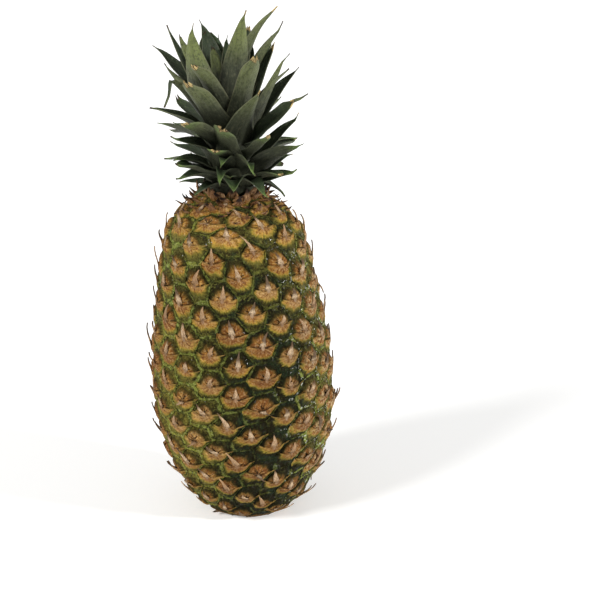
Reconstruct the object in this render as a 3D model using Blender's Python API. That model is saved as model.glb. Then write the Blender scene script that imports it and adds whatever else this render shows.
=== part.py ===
"""Whole pineapple with its leafy crown, standing on its cut base.

Metres, +Z up.  The origin is the middle of the resting face and the front
of the fruit looks towards -Y.  Three solids are made:

* fruit - the fleshy body, its rind raised in spiral rows of eyes that each
  carry a small pointed bract, hollowed a little round the cut stalk;
* stem  - the stub of the stalk, cut level with the resting face;
* crown - the short leafy stem on top with all of its leaves, one solid.
"""

import math
import random

import bmesh
import bpy
import numpy as np
from mathutils import Vector
from mathutils.geometry import delaunay_2d_cdt

MM = 0.001
GAP = 0.3 * MM                       # air between neighbouring solids

# --- fruit: driving dimensions -------------------------------------------
# Height above the base and radius of the rind, both in millimetres.
BODY_PROFILE = (
    (0, 24.0), (8, 33.8), (22, 42.4), (45, 51.6), (75, 56.0), (105, 54.9),
    (135, 50.4), (160, 46.2), (180, 41.2), (193, 31.0), (202, 16.0),
)
BODY_HEIGHT = BODY_PROFILE[-1][0] * MM
LEAN = 0.0301                        # sideways drift of the axis per metre
BEND = 0.0507                        # and per metre squared, towards -X

# --- fruit: rows of eyes --------------------------------------------------
EYE_AREA = 301.0 * MM * MM           # skin taken by one full-grown eye
EYE_BELOW = 131                      # eyes below and above the middle one
EYE_ABOVE = 102
EYE_START = 0.596                    # place of the lowest eye in the spiral
EYE_TURN = math.radians(137.083)     # turn from one eye to the next
EYE_PHASE = 0.0146 - math.pi / 2     # azimuth of the middle eye
ROW_SWAY = 0.3104                    # slow swing of the rows up the fruit
ROW_SWAY_RATE = 2.4
ROW_SWAY_SHIFT = 0.071
EYE_SHRINK = 35 * MM                 # eyes get smaller this near the ends

# --- fruit: relief of one full-grown eye ------------------------------------
GROOVE_LIFT = -2.4 * MM
SHOULDER_LIFT = 0.4 * MM
SHOULDER_SHARE = 0.62                # reach of the shoulder ring
BRACT_WIDTH = 5.0 * MM
BRACT_THICK = 1.5 * MM
BRACT_RISE = 8.0 * MM
BRACT_REACH = 3.2 * MM
RELIEF_FADE = 11 * MM                # relief dies out this near the ends
RIM_MARGIN = 0.25                    # guide points beyond the rims, radians

# --- cut stalk --------------------------------------------------------------
REST_RADIUS = 22 * MM
STEM_RADIUS = 14 * MM
STEM_HEIGHT = 5.5 * MM
STEM_SIDES = 28

# --- crown -------------------------------------------------------------------
CORE_PROFILE = (                     # height over the fruit, radius (mm)
    (0, 13.5), (3, 16.5), (12, 16), (35, 13), (60, 8), (78, 2.5),
)
CORE_SIDES = 20
ROOT_DEPTH = 0.6                     # leaf roots start this far out
LEAF_STATIONS = (0.0, 0.22, 0.44, 0.66, 0.86)
CROWN_TRIANGLES = 7400               # left once the fused leaves' slivers
                                     # are collapsed
LEAF_THICK = 1.5 * MM
EDGE_THICK = 0.8 * MM
CHANNEL = 0.22                       # rise of the edges over the width
ROLL_DONE = 0.45                     # share of the length where a roll is full
SHOULDER_CLEAR = 2.2 * MM            # leaves hang at least this clear of
SHOULDER_REACH = 40 * MM             # the rind, and twice that further out
SHARP, BLUNT, FOLDED = "sharp", "blunt", "folded"

# One leaf a row: turn from the front to the right (degrees), height of the
# root, length, rise at the root and at the tip (degrees), width, tip, roll.
SHOWN_LEAVES = (
    (26, 45, 65, 87, 64, 20, SHARP, -4),
    (66, 45, 72, 100, 38, 13, SHARP, -20),
    (229, 42, 60, 83, 66, 20, SHARP, -28),
    (-43, 39, 67, 50, 91, 22, SHARP, 33),
    (201, 47, 47, 76, 59, 16, SHARP, -18),
    (-44, 46, 42, 84, 74, 9, BLUNT, 14),
    (-103, 37, 67, 62, 64, 12, SHARP, -23),
    (-80, 39, 58, 66, 70, 9, BLUNT, 41),
    (140, 42, 56, 80, 78, 12, BLUNT, 0),
    (81, 40, 66, 86, 48, 12, SHARP, -34),
    (87, 32, 59, 78, 65, 8, BLUNT, 37),
    (26, 31, 62, 75, 44, 15, BLUNT, 5),
    (75, 26, 63, 70, 61, 8, SHARP, -49),
    (104, 30, 54, 60, 44, 15, SHARP, 35),
    (27, 21, 55, 71, 38, 24, SHARP, 17),
    (57, 25, 50, 50, 32, 11, BLUNT, 68),
    (94, 15, 44, 48, 40, 12, SHARP, 34),
    (27, 18, 51, 30, 27, 11, BLUNT, -1),
    (60, 7, 48, 57, 8, 12, SHARP, -70),
    (125, 15, 40, 31, 0, 14, BLUNT, 0),
    (110, 4, 33, 40, 23, 13, SHARP, 20),
    (61, 4, 37, 30, 9, 13, SHARP, 35),
    (45, 4, 38, 42, -4, 13, BLUNT, 0),
    (98, 4, 25, 20, -56, 12, SHARP, 0),
    (29, 4, 38, 48, -45, 19, SHARP, 0),
    (17, 9, 49, 64, -34, 19, SHARP, -35),
    (5, 4, 33, 55, -40, 24, SHARP, -3),
    (-6, 6, 43, 63, -38, 16, SHARP, -8),
    (-45, 6, 35, 45, -19, 13, SHARP, -10),
    (-104, 4, 23, 14, -10, 5, SHARP, -36),
    (-44, 8, 42, 56, -3, 14, SHARP, -26),
    (-37, 8, 43, 36, 8, 12, BLUNT, -15),
    (-131, 17, 42, 12, 5, 13, SHARP, -10),
    (-37, 23, 45, 30, 13, 13, SHARP, -32),
    (-138, 29, 52, 10, -12, 11, BLUNT, 0),
    (-126, 28, 50, 12, 7, 8, SHARP, 56),
    (-28, 26, 49, 36, 18, 18, BLUNT, 6),
    (-57, 29, 52, 46, 16, 15, SHARP, -19),
    (-139, 28, 52, 27, 23, 10, BLUNT, -9),
    (-49, 32, 51, 58, 40, 10, FOLDED, 17),
    (-32, 32, 52, 51, 42, 24, BLUNT, -6),
    (-20, 42, 60, 58, 23, 13, BLUNT, 4),
    (-96, 31, 54, 63, 47, 13, SHARP, 55),
    (-108, 47, 56, 46, 39, 14, SHARP, -35),
    (-4, 10, 55, 60, 24, 19, BLUNT, -30),
    (-10, 7, 44, 61, 13, 16, BLUNT, 0),
    (-4, 9, 45, 71, -26, 17, SHARP, 0),
    (-30, 4, 31, 34, -30, 11, SHARP, 0),
)
FOLD_LENGTH = 16 * MM                # the snapped end of the folded leaf
FOLD_RISE = -78

# Leaves at the back follow the plant's own rule, root by root upwards.
BACK_LEAVES = 23
BACK_SECTOR = (112, 248)             # degrees from the front
BACK_LOW, BACK_TOP = 4, 50           # heights of the first and last root (mm)
GOLDEN_TURN = 137.5
BACK_SEED = 11

COLLAR_LEAVES = 9

FRUIT_COLOUR = (0.36, 0.22, 0.055)
STEM_COLOUR = (0.46, 0.33, 0.16)
CROWN_COLOUR = (0.055, 0.085, 0.035)


def clear_scene():
    """Remove every object of the open scene."""
    for thing in list(bpy.data.objects):
        bpy.data.objects.remove(thing, do_unlink=True)


def make_material(name, colour, roughness):
    """Return a Principled material of one colour."""
    material = bpy.data.materials.new(name)
    material.use_nodes = True
    shader = material.node_tree.nodes["Principled BSDF"]
    shader.inputs["Base Color"].default_value = (*colour, 1.0)
    shader.inputs["Roughness"].default_value = roughness
    shader.inputs["Metallic"].default_value = 0.0
    material.diffuse_color = (*colour, 1.0)
    return material


def add_solid(name, mesh_data, material, collection=None):
    """Turn a bmesh into an object and free the bmesh."""
    bmesh.ops.triangulate(mesh_data, faces=mesh_data.faces[:])
    bmesh.ops.recalc_face_normals(mesh_data, faces=mesh_data.faces[:])
    mesh = bpy.data.meshes.new(name)
    mesh_data.to_mesh(mesh)
    mesh_data.free()
    mesh.materials.append(material)
    solid = bpy.data.objects.new(name, mesh)
    (collection or bpy.context.scene.collection).objects.link(solid)
    return solid


# --- the fruit's outline -------------------------------------------------------


def monotone_slopes(xs, ys):
    """Slopes of a smooth curve through the points that never overshoots."""
    step = np.diff(xs)
    rise = np.diff(ys) / step
    slopes = np.zeros(len(xs))
    for i in range(1, len(xs) - 1):
        if rise[i - 1] * rise[i] > 0:
            before = 2 * step[i] + step[i - 1]
            after = step[i] + 2 * step[i - 1]
            slopes[i] = (before + after) / (before / rise[i - 1] + after / rise[i])
    for end, near in ((0, 1), (-1, -2)):
        first, second = step[end], step[near]
        grade, other = rise[end], rise[near]
        slope = ((2 * first + second) * grade - first * other) / (first + second)
        if slope * grade <= 0:
            slope = 0.0
        elif other * grade <= 0 and abs(slope) > 3 * abs(grade):
            slope = 3 * grade
        slopes[end] = slope
    return slopes


class Skin:
    """The fruit's smooth outline, with tables along its meridian."""

    STEPS = 400

    def __init__(self):
        knots = np.array(BODY_PROFILE, float) * MM
        heights, radii = knots[:, 0], knots[:, 1]
        slopes = monotone_slopes(heights, radii)
        self.z = np.linspace(0.0, BODY_HEIGHT, self.STEPS)
        spans = np.clip(np.searchsorted(heights, self.z, "right") - 1, 0, len(heights) - 2)
        width = heights[spans + 1] - heights[spans]
        t = (self.z - heights[spans]) / width
        self.r = (
            (1 + 2 * t) * (1 - t) ** 2 * radii[spans]
            + t * (1 - t) ** 2 * width * slopes[spans]
            + t * t * (3 - 2 * t) * radii[spans + 1]
            + t * t * (t - 1) * width * slopes[spans + 1]
        )
        run = np.hypot(np.diff(self.z), np.diff(self.r))
        self.s = np.concatenate([[0.0], np.cumsum(run)])
        self.length = self.s[-1]
        mean_r = 0.5 * (self.r[1:] + self.r[:-1])
        # "stretch" counts the meridian in local radii, which keeps the
        # shape of small patches when the skin is laid out flat.
        self.stretch = np.concatenate([[0.0], np.cumsum(run / mean_r)])
        grown = self.eye_size(self.s)
        area = EYE_AREA * 0.5 * (grown[1:] + grown[:-1])
        eyes = 2 * math.pi * mean_r * run / area
        self.eyes = np.concatenate([[0.0], np.cumsum(eyes)])
        self.slope_r = np.gradient(self.r, self.s)
        self.slope_z = np.gradient(self.z, self.s)

    def eye_size(self, s):
        """Share of the full-grown area that an eye has at skin length s."""
        low = 0.45 + 0.55 * s / EYE_SHRINK
        high = 0.35 + 0.65 * (self.length - s) / EYE_SHRINK
        return np.clip(np.minimum(1.0, np.minimum(low, high)), 0.2, 1.0)

    def point(self, azimuth, stretch, lift=0.0):
        """Point over the skin, with its lift faded out near both ends."""
        stretch = min(max(stretch, 0.0), self.stretch[-1])
        s, z, r, dr, dz = (
            float(np.interp(stretch, self.stretch, table))
            for table in (self.s, self.z, self.r, self.slope_r, self.slope_z)
        )
        fade = min(s, self.length - s, RELIEF_FADE) / RELIEF_FADE
        lift *= fade
        radius = r + lift * dz
        height = max(z - lift * dr, 0.0)
        return Vector((
            radius * math.cos(azimuth) - axis_shift(z),
            radius * math.sin(azimuth),
            height,
        ))


def axis_shift(z):
    """How far the fruit's axis has drifted towards -X at height z."""
    return LEAN * z + BEND * z * z


# --- rows of eyes ------------------------------------------------------------------


def eye_places(skin):
    """Azimuth and stretch of every eye, in spiral order from the base."""
    places = []
    for index in range(-EYE_BELOW, EYE_ABOVE + 1):
        along = index + EYE_BELOW + EYE_START
        stretch = float(np.interp(along, skin.eyes, skin.stretch))
        sway = ROW_SWAY * (1 - math.cos(ROW_SWAY_RATE * (index / 100 + ROW_SWAY_SHIFT)))
        azimuth = (EYE_PHASE - EYE_TURN * index - sway) % (2 * math.pi)
        places.append((azimuth, stretch))
    return places


def rim_guides(skin):
    """Guide points beyond both rims, which close the outermost cells."""
    guides = []
    for count, stretch in ((14, -RIM_MARGIN), (9, skin.stretch[-1] + RIM_MARGIN)):
        guides += [(2 * math.pi * i / count, stretch) for i in range(count)]
    return guides


def eye_cells(places, guides):
    """Corners of every eye's cell as {eye: [(corner key, azimuth, stretch)]}.

    The skin is laid out flat, three times side by side, and triangulated;
    the corners of a cell are the middles of the triangles round its eye.
    """
    turn = 2 * math.pi
    flat, owners = [], []
    for wrap in (-1, 0, 1):
        for number, (azimuth, stretch) in enumerate(places + guides):
            if -2.0 < azimuth + wrap * turn < turn + 2.0:
                flat.append(Vector((azimuth + wrap * turn, stretch)))
                owners.append((number, wrap))
    _, _, faces, sources, _, _ = delaunay_2d_cdt(flat, [], [], 0, 1e-9)
    cells = {number: [] for number in range(len(places))}
    for key, face in enumerate(faces):
        corners = [sources[i][0] for i in face]
        centre = sum((flat[i] for i in corners), Vector((0.0, 0.0))) / 3
        if not 0.0 <= centre.x < turn:
            continue
        for i in corners:
            number, wrap = owners[i]
            if number < len(places):
                cells[number].append((key, centre.x - wrap * turn, centre.y))
    for number, corners in cells.items():
        azimuth, stretch = places[number]
        corners.sort(key=lambda c: math.atan2(c[2] - stretch, c[1] - azimuth))
    return cells


def wrap_angle(angle):
    """The same angle between -pi and pi."""
    return (angle + math.pi) % (2 * math.pi) - math.pi


def unwound(angles, zero):
    """Angles of a closed loop counted on past a full turn."""
    turns = [wrap_angle(angles[0] - zero)]
    for before, after in zip(angles, angles[1:] + angles[:1]):
        turns.append(turns[-1] + (after - before) % (2 * math.pi))
    return turns


def zip_loops(mesh, outer, outer_angles, inner, inner_angles):
    """Fill the ring between two loops of vertices sorted by angle."""
    zero = outer_angles[0]
    start = min(range(len(inner)), key=lambda k: abs(wrap_angle(inner_angles[k] - zero)))
    inner = inner[start:] + inner[:start]
    outer_turns = unwound(outer_angles, zero)
    inner_turns = unwound(inner_angles[start:] + inner_angles[:start], zero)
    i = j = 0
    while i < len(outer) or j < len(inner):
        here, there = outer[i % len(outer)], inner[j % len(inner)]
        outer_is_next = i < len(outer) and (
            j == len(inner) or outer_turns[i + 1] <= inner_turns[j + 1])
        if outer_is_next:
            i += 1
            mesh.faces.new((here, outer[i % len(outer)], there))
        else:
            j += 1
            mesh.faces.new((here, inner[j % len(inner)], there))


def add_eye(mesh, skin, place, corners, corner_vertices, rng):
    """Raise one eye inside its cell, with the bract that points up from it."""
    azimuth, stretch = place
    s = float(np.interp(stretch, skin.stretch, skin.s))
    r = float(np.interp(stretch, skin.stretch, skin.r))
    grown = math.sqrt(float(skin.eye_size(s)))
    ring, ring_angles = [], []
    for _, corner_azimuth, corner_stretch in corners:
        across = (corner_azimuth - azimuth) * SHOULDER_SHARE
        along = (corner_stretch - stretch) * SHOULDER_SHARE
        spot = skin.point(azimuth + across, stretch + along, SHOULDER_LIFT * grown)
        ring.append(mesh.verts.new(spot))
        ring_angles.append(math.atan2(along, across))
    outer = [corner_vertices[key] for key, _, _ in corners]
    for i in range(len(outer)):
        j = (i + 1) % len(outer)
        mesh.faces.new((outer[i], outer[j], ring[j]))
        mesh.faces.new((outer[i], ring[j], ring[i]))
    half_width = 0.5 * BRACT_WIDTH * grown / r
    half_thick = 0.5 * BRACT_THICK * grown / r
    foot = [
        (half_width, 0.0, 0.9 * MM), (0.0, half_thick, 0.7 * MM),
        (-half_width, 0.0, 0.9 * MM), (0.0, -half_thick, 1.5 * MM),
    ]
    foot_vertices = [
        mesh.verts.new(skin.point(azimuth + across, stretch + along, lift * grown))
        for across, along, lift in foot
    ]
    zip_loops(mesh, ring, ring_angles, foot_vertices,
              [0.0, math.pi / 2, math.pi, -math.pi / 2])
    near_end = min(1.0, min(s, skin.length - s) / (2 * RELIEF_FADE))
    rise = BRACT_RISE * grown * rng.uniform(0.6, 1.25) * (0.4 + 0.6 * near_end)
    reach = BRACT_REACH * grown * rng.uniform(0.5, 1.5)
    slant = rng.uniform(-0.35, 0.35) * rise
    tip = mesh.verts.new(skin.point(azimuth + slant / r, stretch + rise / r, BRACT_THICK + reach))
    for i in range(4):
        mesh.faces.new((foot_vertices[i], foot_vertices[(i + 1) % 4], tip))


def rim_loop(mesh, low):
    """The open border of the rind, low or high, in order of azimuth."""
    middle = BODY_HEIGHT / 2
    border = [e for e in mesh.edges if len(e.link_faces) == 1]
    border = [e for e in border if (e.verts[0].co.z < middle) == low]
    loop = [border[0].verts[0]]
    edge = border[0]
    while True:
        vertex = edge.other_vert(loop[-1])
        if vertex is loop[0]:
            break
        loop.append(vertex)
        edge = next(e for e in vertex.link_edges if e in border and e is not edge)
    return loop


def close_base(mesh):
    """Flat resting ring under the fruit, hollowed for the cut stalk."""
    loop = rim_loop(mesh, low=True)
    for vertex in loop:
        if vertex.co.z < 0.6 * MM:
            vertex.co.z = 0.0
    angles = [math.atan2(v.co.y, v.co.x) for v in loop]
    if wrap_angle(angles[1] - angles[0]) < 0:
        loop.reverse()
        angles.reverse()
    recess_radius = STEM_RADIUS + GAP
    rings = []
    turns = [2 * math.pi * i / STEM_SIDES for i in range(STEM_SIDES)]
    for radius, height in (
        (REST_RADIUS, 0.0), (recess_radius, 0.0), (recess_radius, STEM_HEIGHT + GAP),
    ):
        rings.append([
            mesh.verts.new((radius * math.cos(a), radius * math.sin(a), height)) for a in turns
        ])
    zip_loops(mesh, loop, angles, rings[0], turns)
    for first, second in zip(rings, rings[1:]):
        for i in range(STEM_SIDES):
            j = (i + 1) % STEM_SIDES
            mesh.faces.new((first[i], first[j], second[j], second[i]))
    mesh.faces.new(rings[-1])


def close_top(mesh):
    """Cap under the crown."""
    loop = rim_loop(mesh, low=False)
    centre = mesh.verts.new((-axis_shift(BODY_HEIGHT), 0.0, BODY_HEIGHT))
    for i in range(len(loop)):
        mesh.faces.new((loop[i], loop[(i + 1) % len(loop)], centre))


def make_fruit(skin):
    """The fleshy body with its rows of eyes."""
    mesh = bmesh.new()
    places = eye_places(skin)
    cells = eye_cells(places, rim_guides(skin))
    corner_vertices = {}
    for number, corners in cells.items():
        s = float(np.interp(places[number][1], skin.stretch, skin.s))
        depth = GROOVE_LIFT * math.sqrt(float(skin.eye_size(s)))
        for key, azimuth, stretch in corners:
            if key not in corner_vertices:
                corner_vertices[key] = mesh.verts.new(skin.point(azimuth, stretch, depth))
    rng = random.Random(5)
    for number, corners in cells.items():
        add_eye(mesh, skin, places[number], corners, corner_vertices, rng)
    close_base(mesh)
    close_top(mesh)
    return add_solid("fruit", mesh, make_material("pineapple_rind", FRUIT_COLOUR, 0.6))


def make_stem():
    """The stub of the stalk, cut level with the resting face."""
    mesh = bmesh.new()
    bmesh.ops.create_cone(
        mesh, cap_ends=True, segments=STEM_SIDES, radius1=STEM_RADIUS,
        radius2=STEM_RADIUS, depth=STEM_HEIGHT,
    )
    bmesh.ops.translate(mesh, verts=mesh.verts[:], vec=(0, 0, STEM_HEIGHT / 2))
    return add_solid("stem", mesh, make_material("cut_stalk", STEM_COLOUR, 0.8))


# --- the crown -----------------------------------------------------------------------


def crown_origin():
    """Middle of the crown's lower end."""
    return Vector((-axis_shift(BODY_HEIGHT), 0.0, BODY_HEIGHT + GAP))


def core_radius(height):
    """Radius of the leafy stem at a height over the fruit."""
    heights = [h * MM for h, _ in CORE_PROFILE]
    return float(np.interp(height, heights, [r * MM for _, r in CORE_PROFILE]))


def make_core(material):
    """The short stem that the leaves grow from."""
    mesh = bmesh.new()
    origin = crown_origin()
    rings = []
    for height, radius in CORE_PROFILE:
        rings.append([
            mesh.verts.new(origin + Vector((
                radius * MM * math.cos(2 * math.pi * i / CORE_SIDES),
                radius * MM * math.sin(2 * math.pi * i / CORE_SIDES),
                height * MM,
            )))
            for i in range(CORE_SIDES)
        ])
    for first, second in zip(rings, rings[1:]):
        for i in range(CORE_SIDES):
            j = (i + 1) % CORE_SIDES
            mesh.faces.new((first[i], first[j], second[j], second[i]))
    mesh.faces.new(rings[0])
    mesh.faces.new(rings[-1])
    return add_solid("crown", mesh, material)


def back_leaves():
    """Leaves of the hidden side, by golden angle and height."""
    rng = random.Random(BACK_SEED)
    rows = []
    index = 0
    while len(rows) < BACK_LEAVES:
        turn = index * GOLDEN_TURN % 360
        index += 1
        if not BACK_SECTOR[0] < turn < BACK_SECTOR[1]:
            continue
        height = BACK_LOW + (BACK_TOP - BACK_LOW) * len(rows) / (BACK_LEAVES - 1)
        length = (33 + 18 * math.sin(math.pi * height / 62)) * rng.uniform(0.9, 1.1)
        root_rise = 36 + 0.9 * height + rng.uniform(-6, 6)
        tip_rise = min(75, -42 + 2.3 * height + rng.uniform(-12, 12))
        width = rng.uniform(12, 19)
        tip = rng.choice((SHARP, SHARP, BLUNT))
        roll = rng.uniform(-25, 25)
        rows.append((turn, height, length, root_rise, tip_rise, width, tip, roll))
    return rows


def collar_leaves():
    """Short broad scales that clasp the lower end of the crown."""
    return [
        (i * 360 / COLLAR_LEAVES, 3, 17, 64, 20, 19, SHARP, 0) for i in range(COLLAR_LEAVES)
    ]


def leaf_line(turn, height, length, root_rise, tip_rise, steps):
    """Points and rises along a leaf's middle, from its root inside the core."""
    azimuth = math.radians(turn - 90)
    outward = Vector((math.cos(azimuth), math.sin(azimuth), 0.0))
    point = crown_origin() + Vector((0, 0, height)) + outward * ROOT_DEPTH * core_radius(height)
    fine = 16
    points, rises = [point.copy()], [math.radians(root_rise)]
    for i in range(fine * steps):
        t = (i + 0.5) / (fine * steps)
        rise = math.radians(root_rise + (tip_rise - root_rise) * t)
        point = point + (outward * math.cos(rise) + Vector((0, 0, math.sin(rise)))) * (
            length / (fine * steps))
        points.append(point.copy())
        rises.append(rise)
    return points, rises, outward


def ease(t):
    """Ease from 0 to 1."""
    t = min(1.0, max(0.0, t))
    return t * t * (3 - 2 * t)


def leaf_width(t, width, tip):
    """Width of a leaf at a share t of its length."""
    swell = 0.9 + 0.1 * math.sin(math.pi * min(1.0, 2 * t))
    if tip == SHARP:
        return width * swell * (1 - t ** 2.6)
    if tip == FOLDED:
        return width * swell * (1 - 0.6 * t ** 2.2)
    return width * swell * (1 - 0.25 * t * t) * (1 - 0.5 * ease((t - 0.86) / 0.14))


def hang_clear(point, skin):
    """Lift a leaf's point clear of the fruit's shoulder."""
    offset = math.hypot(point.x + axis_shift(BODY_HEIGHT), point.y)
    widest = int(np.argmax(skin.r))
    floor = float(np.interp(offset, skin.r[widest:][::-1], skin.z[widest:][::-1]))
    steep = min(1.0, offset / SHOULDER_REACH)
    lowest = floor + SHOULDER_CLEAR * (1 + steep)
    return Vector((point.x, point.y, max(point.z, lowest)))


def make_leaf(row, skin, material, collection):
    """One leaf as a thin channelled solid, split alike on both faces."""
    turn, height, length, root_rise, tip_rise, width, tip, roll = row
    height, length, width = height * MM, length * MM, width * MM
    points, rises, outward = leaf_line(turn, height, length, root_rise, tip_rise, 8)
    last = len(points) - 1
    level = Vector((-outward.y, outward.x, 0.0))
    sections = []
    for t in LEAF_STATIONS + ((1.0,) if tip != SHARP else ()):
        i = round(t * last)
        rise = rises[i]
        steep = Vector((0, 0, math.cos(rise))) - outward * math.sin(rise)
        angle = math.radians(roll) * ease(t / ROLL_DONE)
        side = level * math.cos(angle) + steep * math.sin(angle)
        up = steep * math.cos(angle) - level * math.sin(angle)
        half = 0.5 * leaf_width(t, width, tip)
        channel = up * CHANNEL * 2 * half
        thick = up * LEAF_THICK * (1 - 0.35 * t)
        thin = up * EDGE_THICK
        middle = hang_clear(points[i], skin)
        sections.append((
            middle + side * half + channel, middle, middle - side * half + channel,
            middle - side * half + channel - thin, middle - thick,
            middle + side * half + channel - thin,
        ))
    if tip == FOLDED:
        rise = math.radians(FOLD_RISE)
        drop = (outward * math.cos(rise) + Vector((0, 0, math.sin(rise)))) * FOLD_LENGTH
        end = points[last] + drop
    else:
        end = hang_clear(points[last], skin)
    mesh = bmesh.new()
    rings = [[mesh.verts.new(p) for p in section] for section in sections]
    for first, second in zip(rings, rings[1:]):
        for i in range(6):
            j = (i + 1) % 6
            mesh.faces.new((first[i], first[j], second[j], second[i]))
    for ring in (rings[0], rings[-1]) if tip == BLUNT else (rings[0],):
        mesh.faces.new((ring[0], ring[1], ring[4], ring[5]))
        mesh.faces.new((ring[1], ring[2], ring[3], ring[4]))
    if tip != BLUNT:
        point = mesh.verts.new(end - Vector((0, 0, 0.5 * EDGE_THICK)))
        for i in range(6):
            mesh.faces.new((rings[-1][i], rings[-1][(i + 1) % 6], point))
    return add_solid("leaf", mesh, material, collection)


def keep_largest_body(solid):
    """Drop sealed hollows and loose scraps from a fused mesh."""
    mesh = bmesh.new()
    mesh.from_mesh(solid.data)
    unseen, bodies = set(mesh.verts), []
    while unseen:
        stack, body = [unseen.pop()], set()
        while stack:
            vertex = stack.pop()
            body.add(vertex)
            for edge in vertex.link_edges:
                other = edge.other_vert(vertex)
                if other in unseen:
                    unseen.discard(other)
                    stack.append(other)
        bodies.append(body)
    bodies.sort(key=len)
    for body in bodies[:-1]:
        bmesh.ops.delete(mesh, geom=list(body), context="VERTS")
    bmesh.ops.triangulate(mesh, faces=mesh.faces[:])
    mesh.to_mesh(solid.data)
    mesh.free()


def make_crown(skin):
    """The leafy crown, fused into one solid."""
    material = make_material("crown_leaf", CROWN_COLOUR, 0.5)
    core = make_core(material)
    collection = bpy.data.collections.new("loose_leaves")
    bpy.context.scene.collection.children.link(collection)
    for row in SHOWN_LEAVES + tuple(back_leaves() + collar_leaves()):
        make_leaf(row, skin, material, collection)
    fuse = core.modifiers.new("fuse", "BOOLEAN")
    fuse.operation = "UNION"
    fuse.operand_type = "COLLECTION"
    fuse.collection = collection
    fuse.solver = "MANIFOLD"
    bpy.context.view_layer.objects.active = core
    bpy.ops.object.modifier_apply(modifier=fuse.name)
    for leaf in list(collection.objects):
        bpy.data.objects.remove(leaf, do_unlink=True)
    bpy.data.collections.remove(collection)
    keep_largest_body(core)
    thin_out = core.modifiers.new("thin_out", "DECIMATE")
    thin_out.ratio = CROWN_TRIANGLES / len(core.data.polygons)
    bpy.ops.object.modifier_apply(modifier=thin_out.name)
    return core


def main():
    """Build the three solids."""
    clear_scene()
    skin = Skin()
    make_fruit(skin)
    make_stem()
    make_crown(skin)


main()
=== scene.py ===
"""Whole pineapple with its leafy crown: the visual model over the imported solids.

Metres, +Z up; the shown front looks towards -Y.  The rind, its bracts, the
leaves and the cut stalk are built on the outline, the rows of eyes and the
leaf lines of the solids, so every piece lies where its solid is.
"""
import sys

import itertools
import logging
import math
import random
from dataclasses import dataclass, field, replace
from enum import Enum
from typing import Callable, Dict, List, Optional, Sequence, Tuple, Union

import bmesh
import bpy
import numpy as np
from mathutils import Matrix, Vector, noise
from mathutils.geometry import delaunay_2d_cdt


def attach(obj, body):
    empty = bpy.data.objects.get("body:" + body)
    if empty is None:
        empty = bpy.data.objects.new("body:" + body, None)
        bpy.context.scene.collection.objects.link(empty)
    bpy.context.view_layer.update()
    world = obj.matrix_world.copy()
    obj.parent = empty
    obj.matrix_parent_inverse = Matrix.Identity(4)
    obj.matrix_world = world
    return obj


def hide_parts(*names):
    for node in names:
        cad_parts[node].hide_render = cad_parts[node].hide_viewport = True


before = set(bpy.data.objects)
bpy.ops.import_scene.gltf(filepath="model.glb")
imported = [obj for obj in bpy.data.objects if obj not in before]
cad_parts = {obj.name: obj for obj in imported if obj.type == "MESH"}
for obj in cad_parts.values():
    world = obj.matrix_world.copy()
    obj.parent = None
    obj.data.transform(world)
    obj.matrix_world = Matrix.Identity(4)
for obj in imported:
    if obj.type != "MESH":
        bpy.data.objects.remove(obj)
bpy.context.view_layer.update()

LOG = logging.getLogger("pineapple")
MM = 0.001
TURN = 2 * math.pi
UP = np.array([0.0, 0.0, 1.0])
Array = np.ndarray
Piece = bpy.types.Object
Socket = bpy.types.NodeSocket
Colour = Tuple[float, float, float]
Range = Tuple[float, float]
Points = Tuple[Range, ...]
Feed = Union["Value", Socket, float, Tuple[float, ...]]


# --- shared helpers ---------------------------------------------------


def smooth_step(low: float, high: float, value: Array) -> Array:
    """Ease from 0 to 1 between two limits.

    Args:
        low: Value at which the result leaves 0.
        high: Value at which the result reaches 1.
        value: Numbers to ease.

    Returns:
        The eased numbers, between 0 and 1.
    """
    share = np.clip((np.asarray(value, float) - low) / (high - low), 0.0, 1.0)
    return share * share * (3 - 2 * share)


def rough_field(points: Array, scale: float, seed: float) -> Array:
    """Smooth noise at a list of places.

    Args:
        points: Places, one row each, in metres.
        scale: Bumps per metre.
        seed: Shift that gives another pattern.

    Returns:
        One number between -1 and 1 for each place.
    """
    shift = Vector((seed, 2.3 * seed, -1.7 * seed))
    return np.array([noise.noise(Vector(point) * scale + shift) for point in points])


def level_directions(azimuth: float) -> Tuple[Array, Array]:
    """Level directions: outward at an azimuth, and square to it."""
    outward = np.array([math.cos(azimuth), math.sin(azimuth), 0.0])
    return outward, np.array([-outward[1], outward[0], 0.0])


def link_new(name: str, data: bpy.types.ID) -> Piece:
    """Put a new object with this data in the scene."""
    piece = bpy.data.objects.new(name, data)
    bpy.context.scene.collection.objects.link(piece)
    return piece


def deselect_all() -> None:
    """Leave edit mode and deselect every object."""
    if bpy.context.object and bpy.context.object.mode != "OBJECT":
        bpy.ops.object.mode_set(mode="OBJECT")
    bpy.ops.object.select_all(action="DESELECT")


def activate(piece: Piece) -> None:
    """Make one object the only selected and the active one."""
    deselect_all()
    piece.select_set(True)
    bpy.context.view_layer.objects.active = piece


def select_where(piece: Piece, test: Callable[[Vector], bool]) -> None:
    """Select vertices of the piece in edit mode by their place.

    Args:
        piece: The object in edit mode.
        test: Function of a vertex's place that tells whether it is taken.
    """
    bpy.ops.mesh.select_mode(type="VERT")
    bpy.ops.mesh.select_all(action="DESELECT")
    mesh = bmesh.from_edit_mesh(piece.data)
    for vertex in mesh.verts:
        vertex.select = bool(test(vertex.co))
    mesh.select_flush(True)
    bmesh.update_edit_mesh(piece.data)


def apply_modifiers(piece: Piece) -> None:
    """Apply every modifier of a piece in order."""
    activate(piece)
    for modifier in list(piece.modifiers):
        bpy.ops.object.modifier_apply(modifier=modifier.name)


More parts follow.
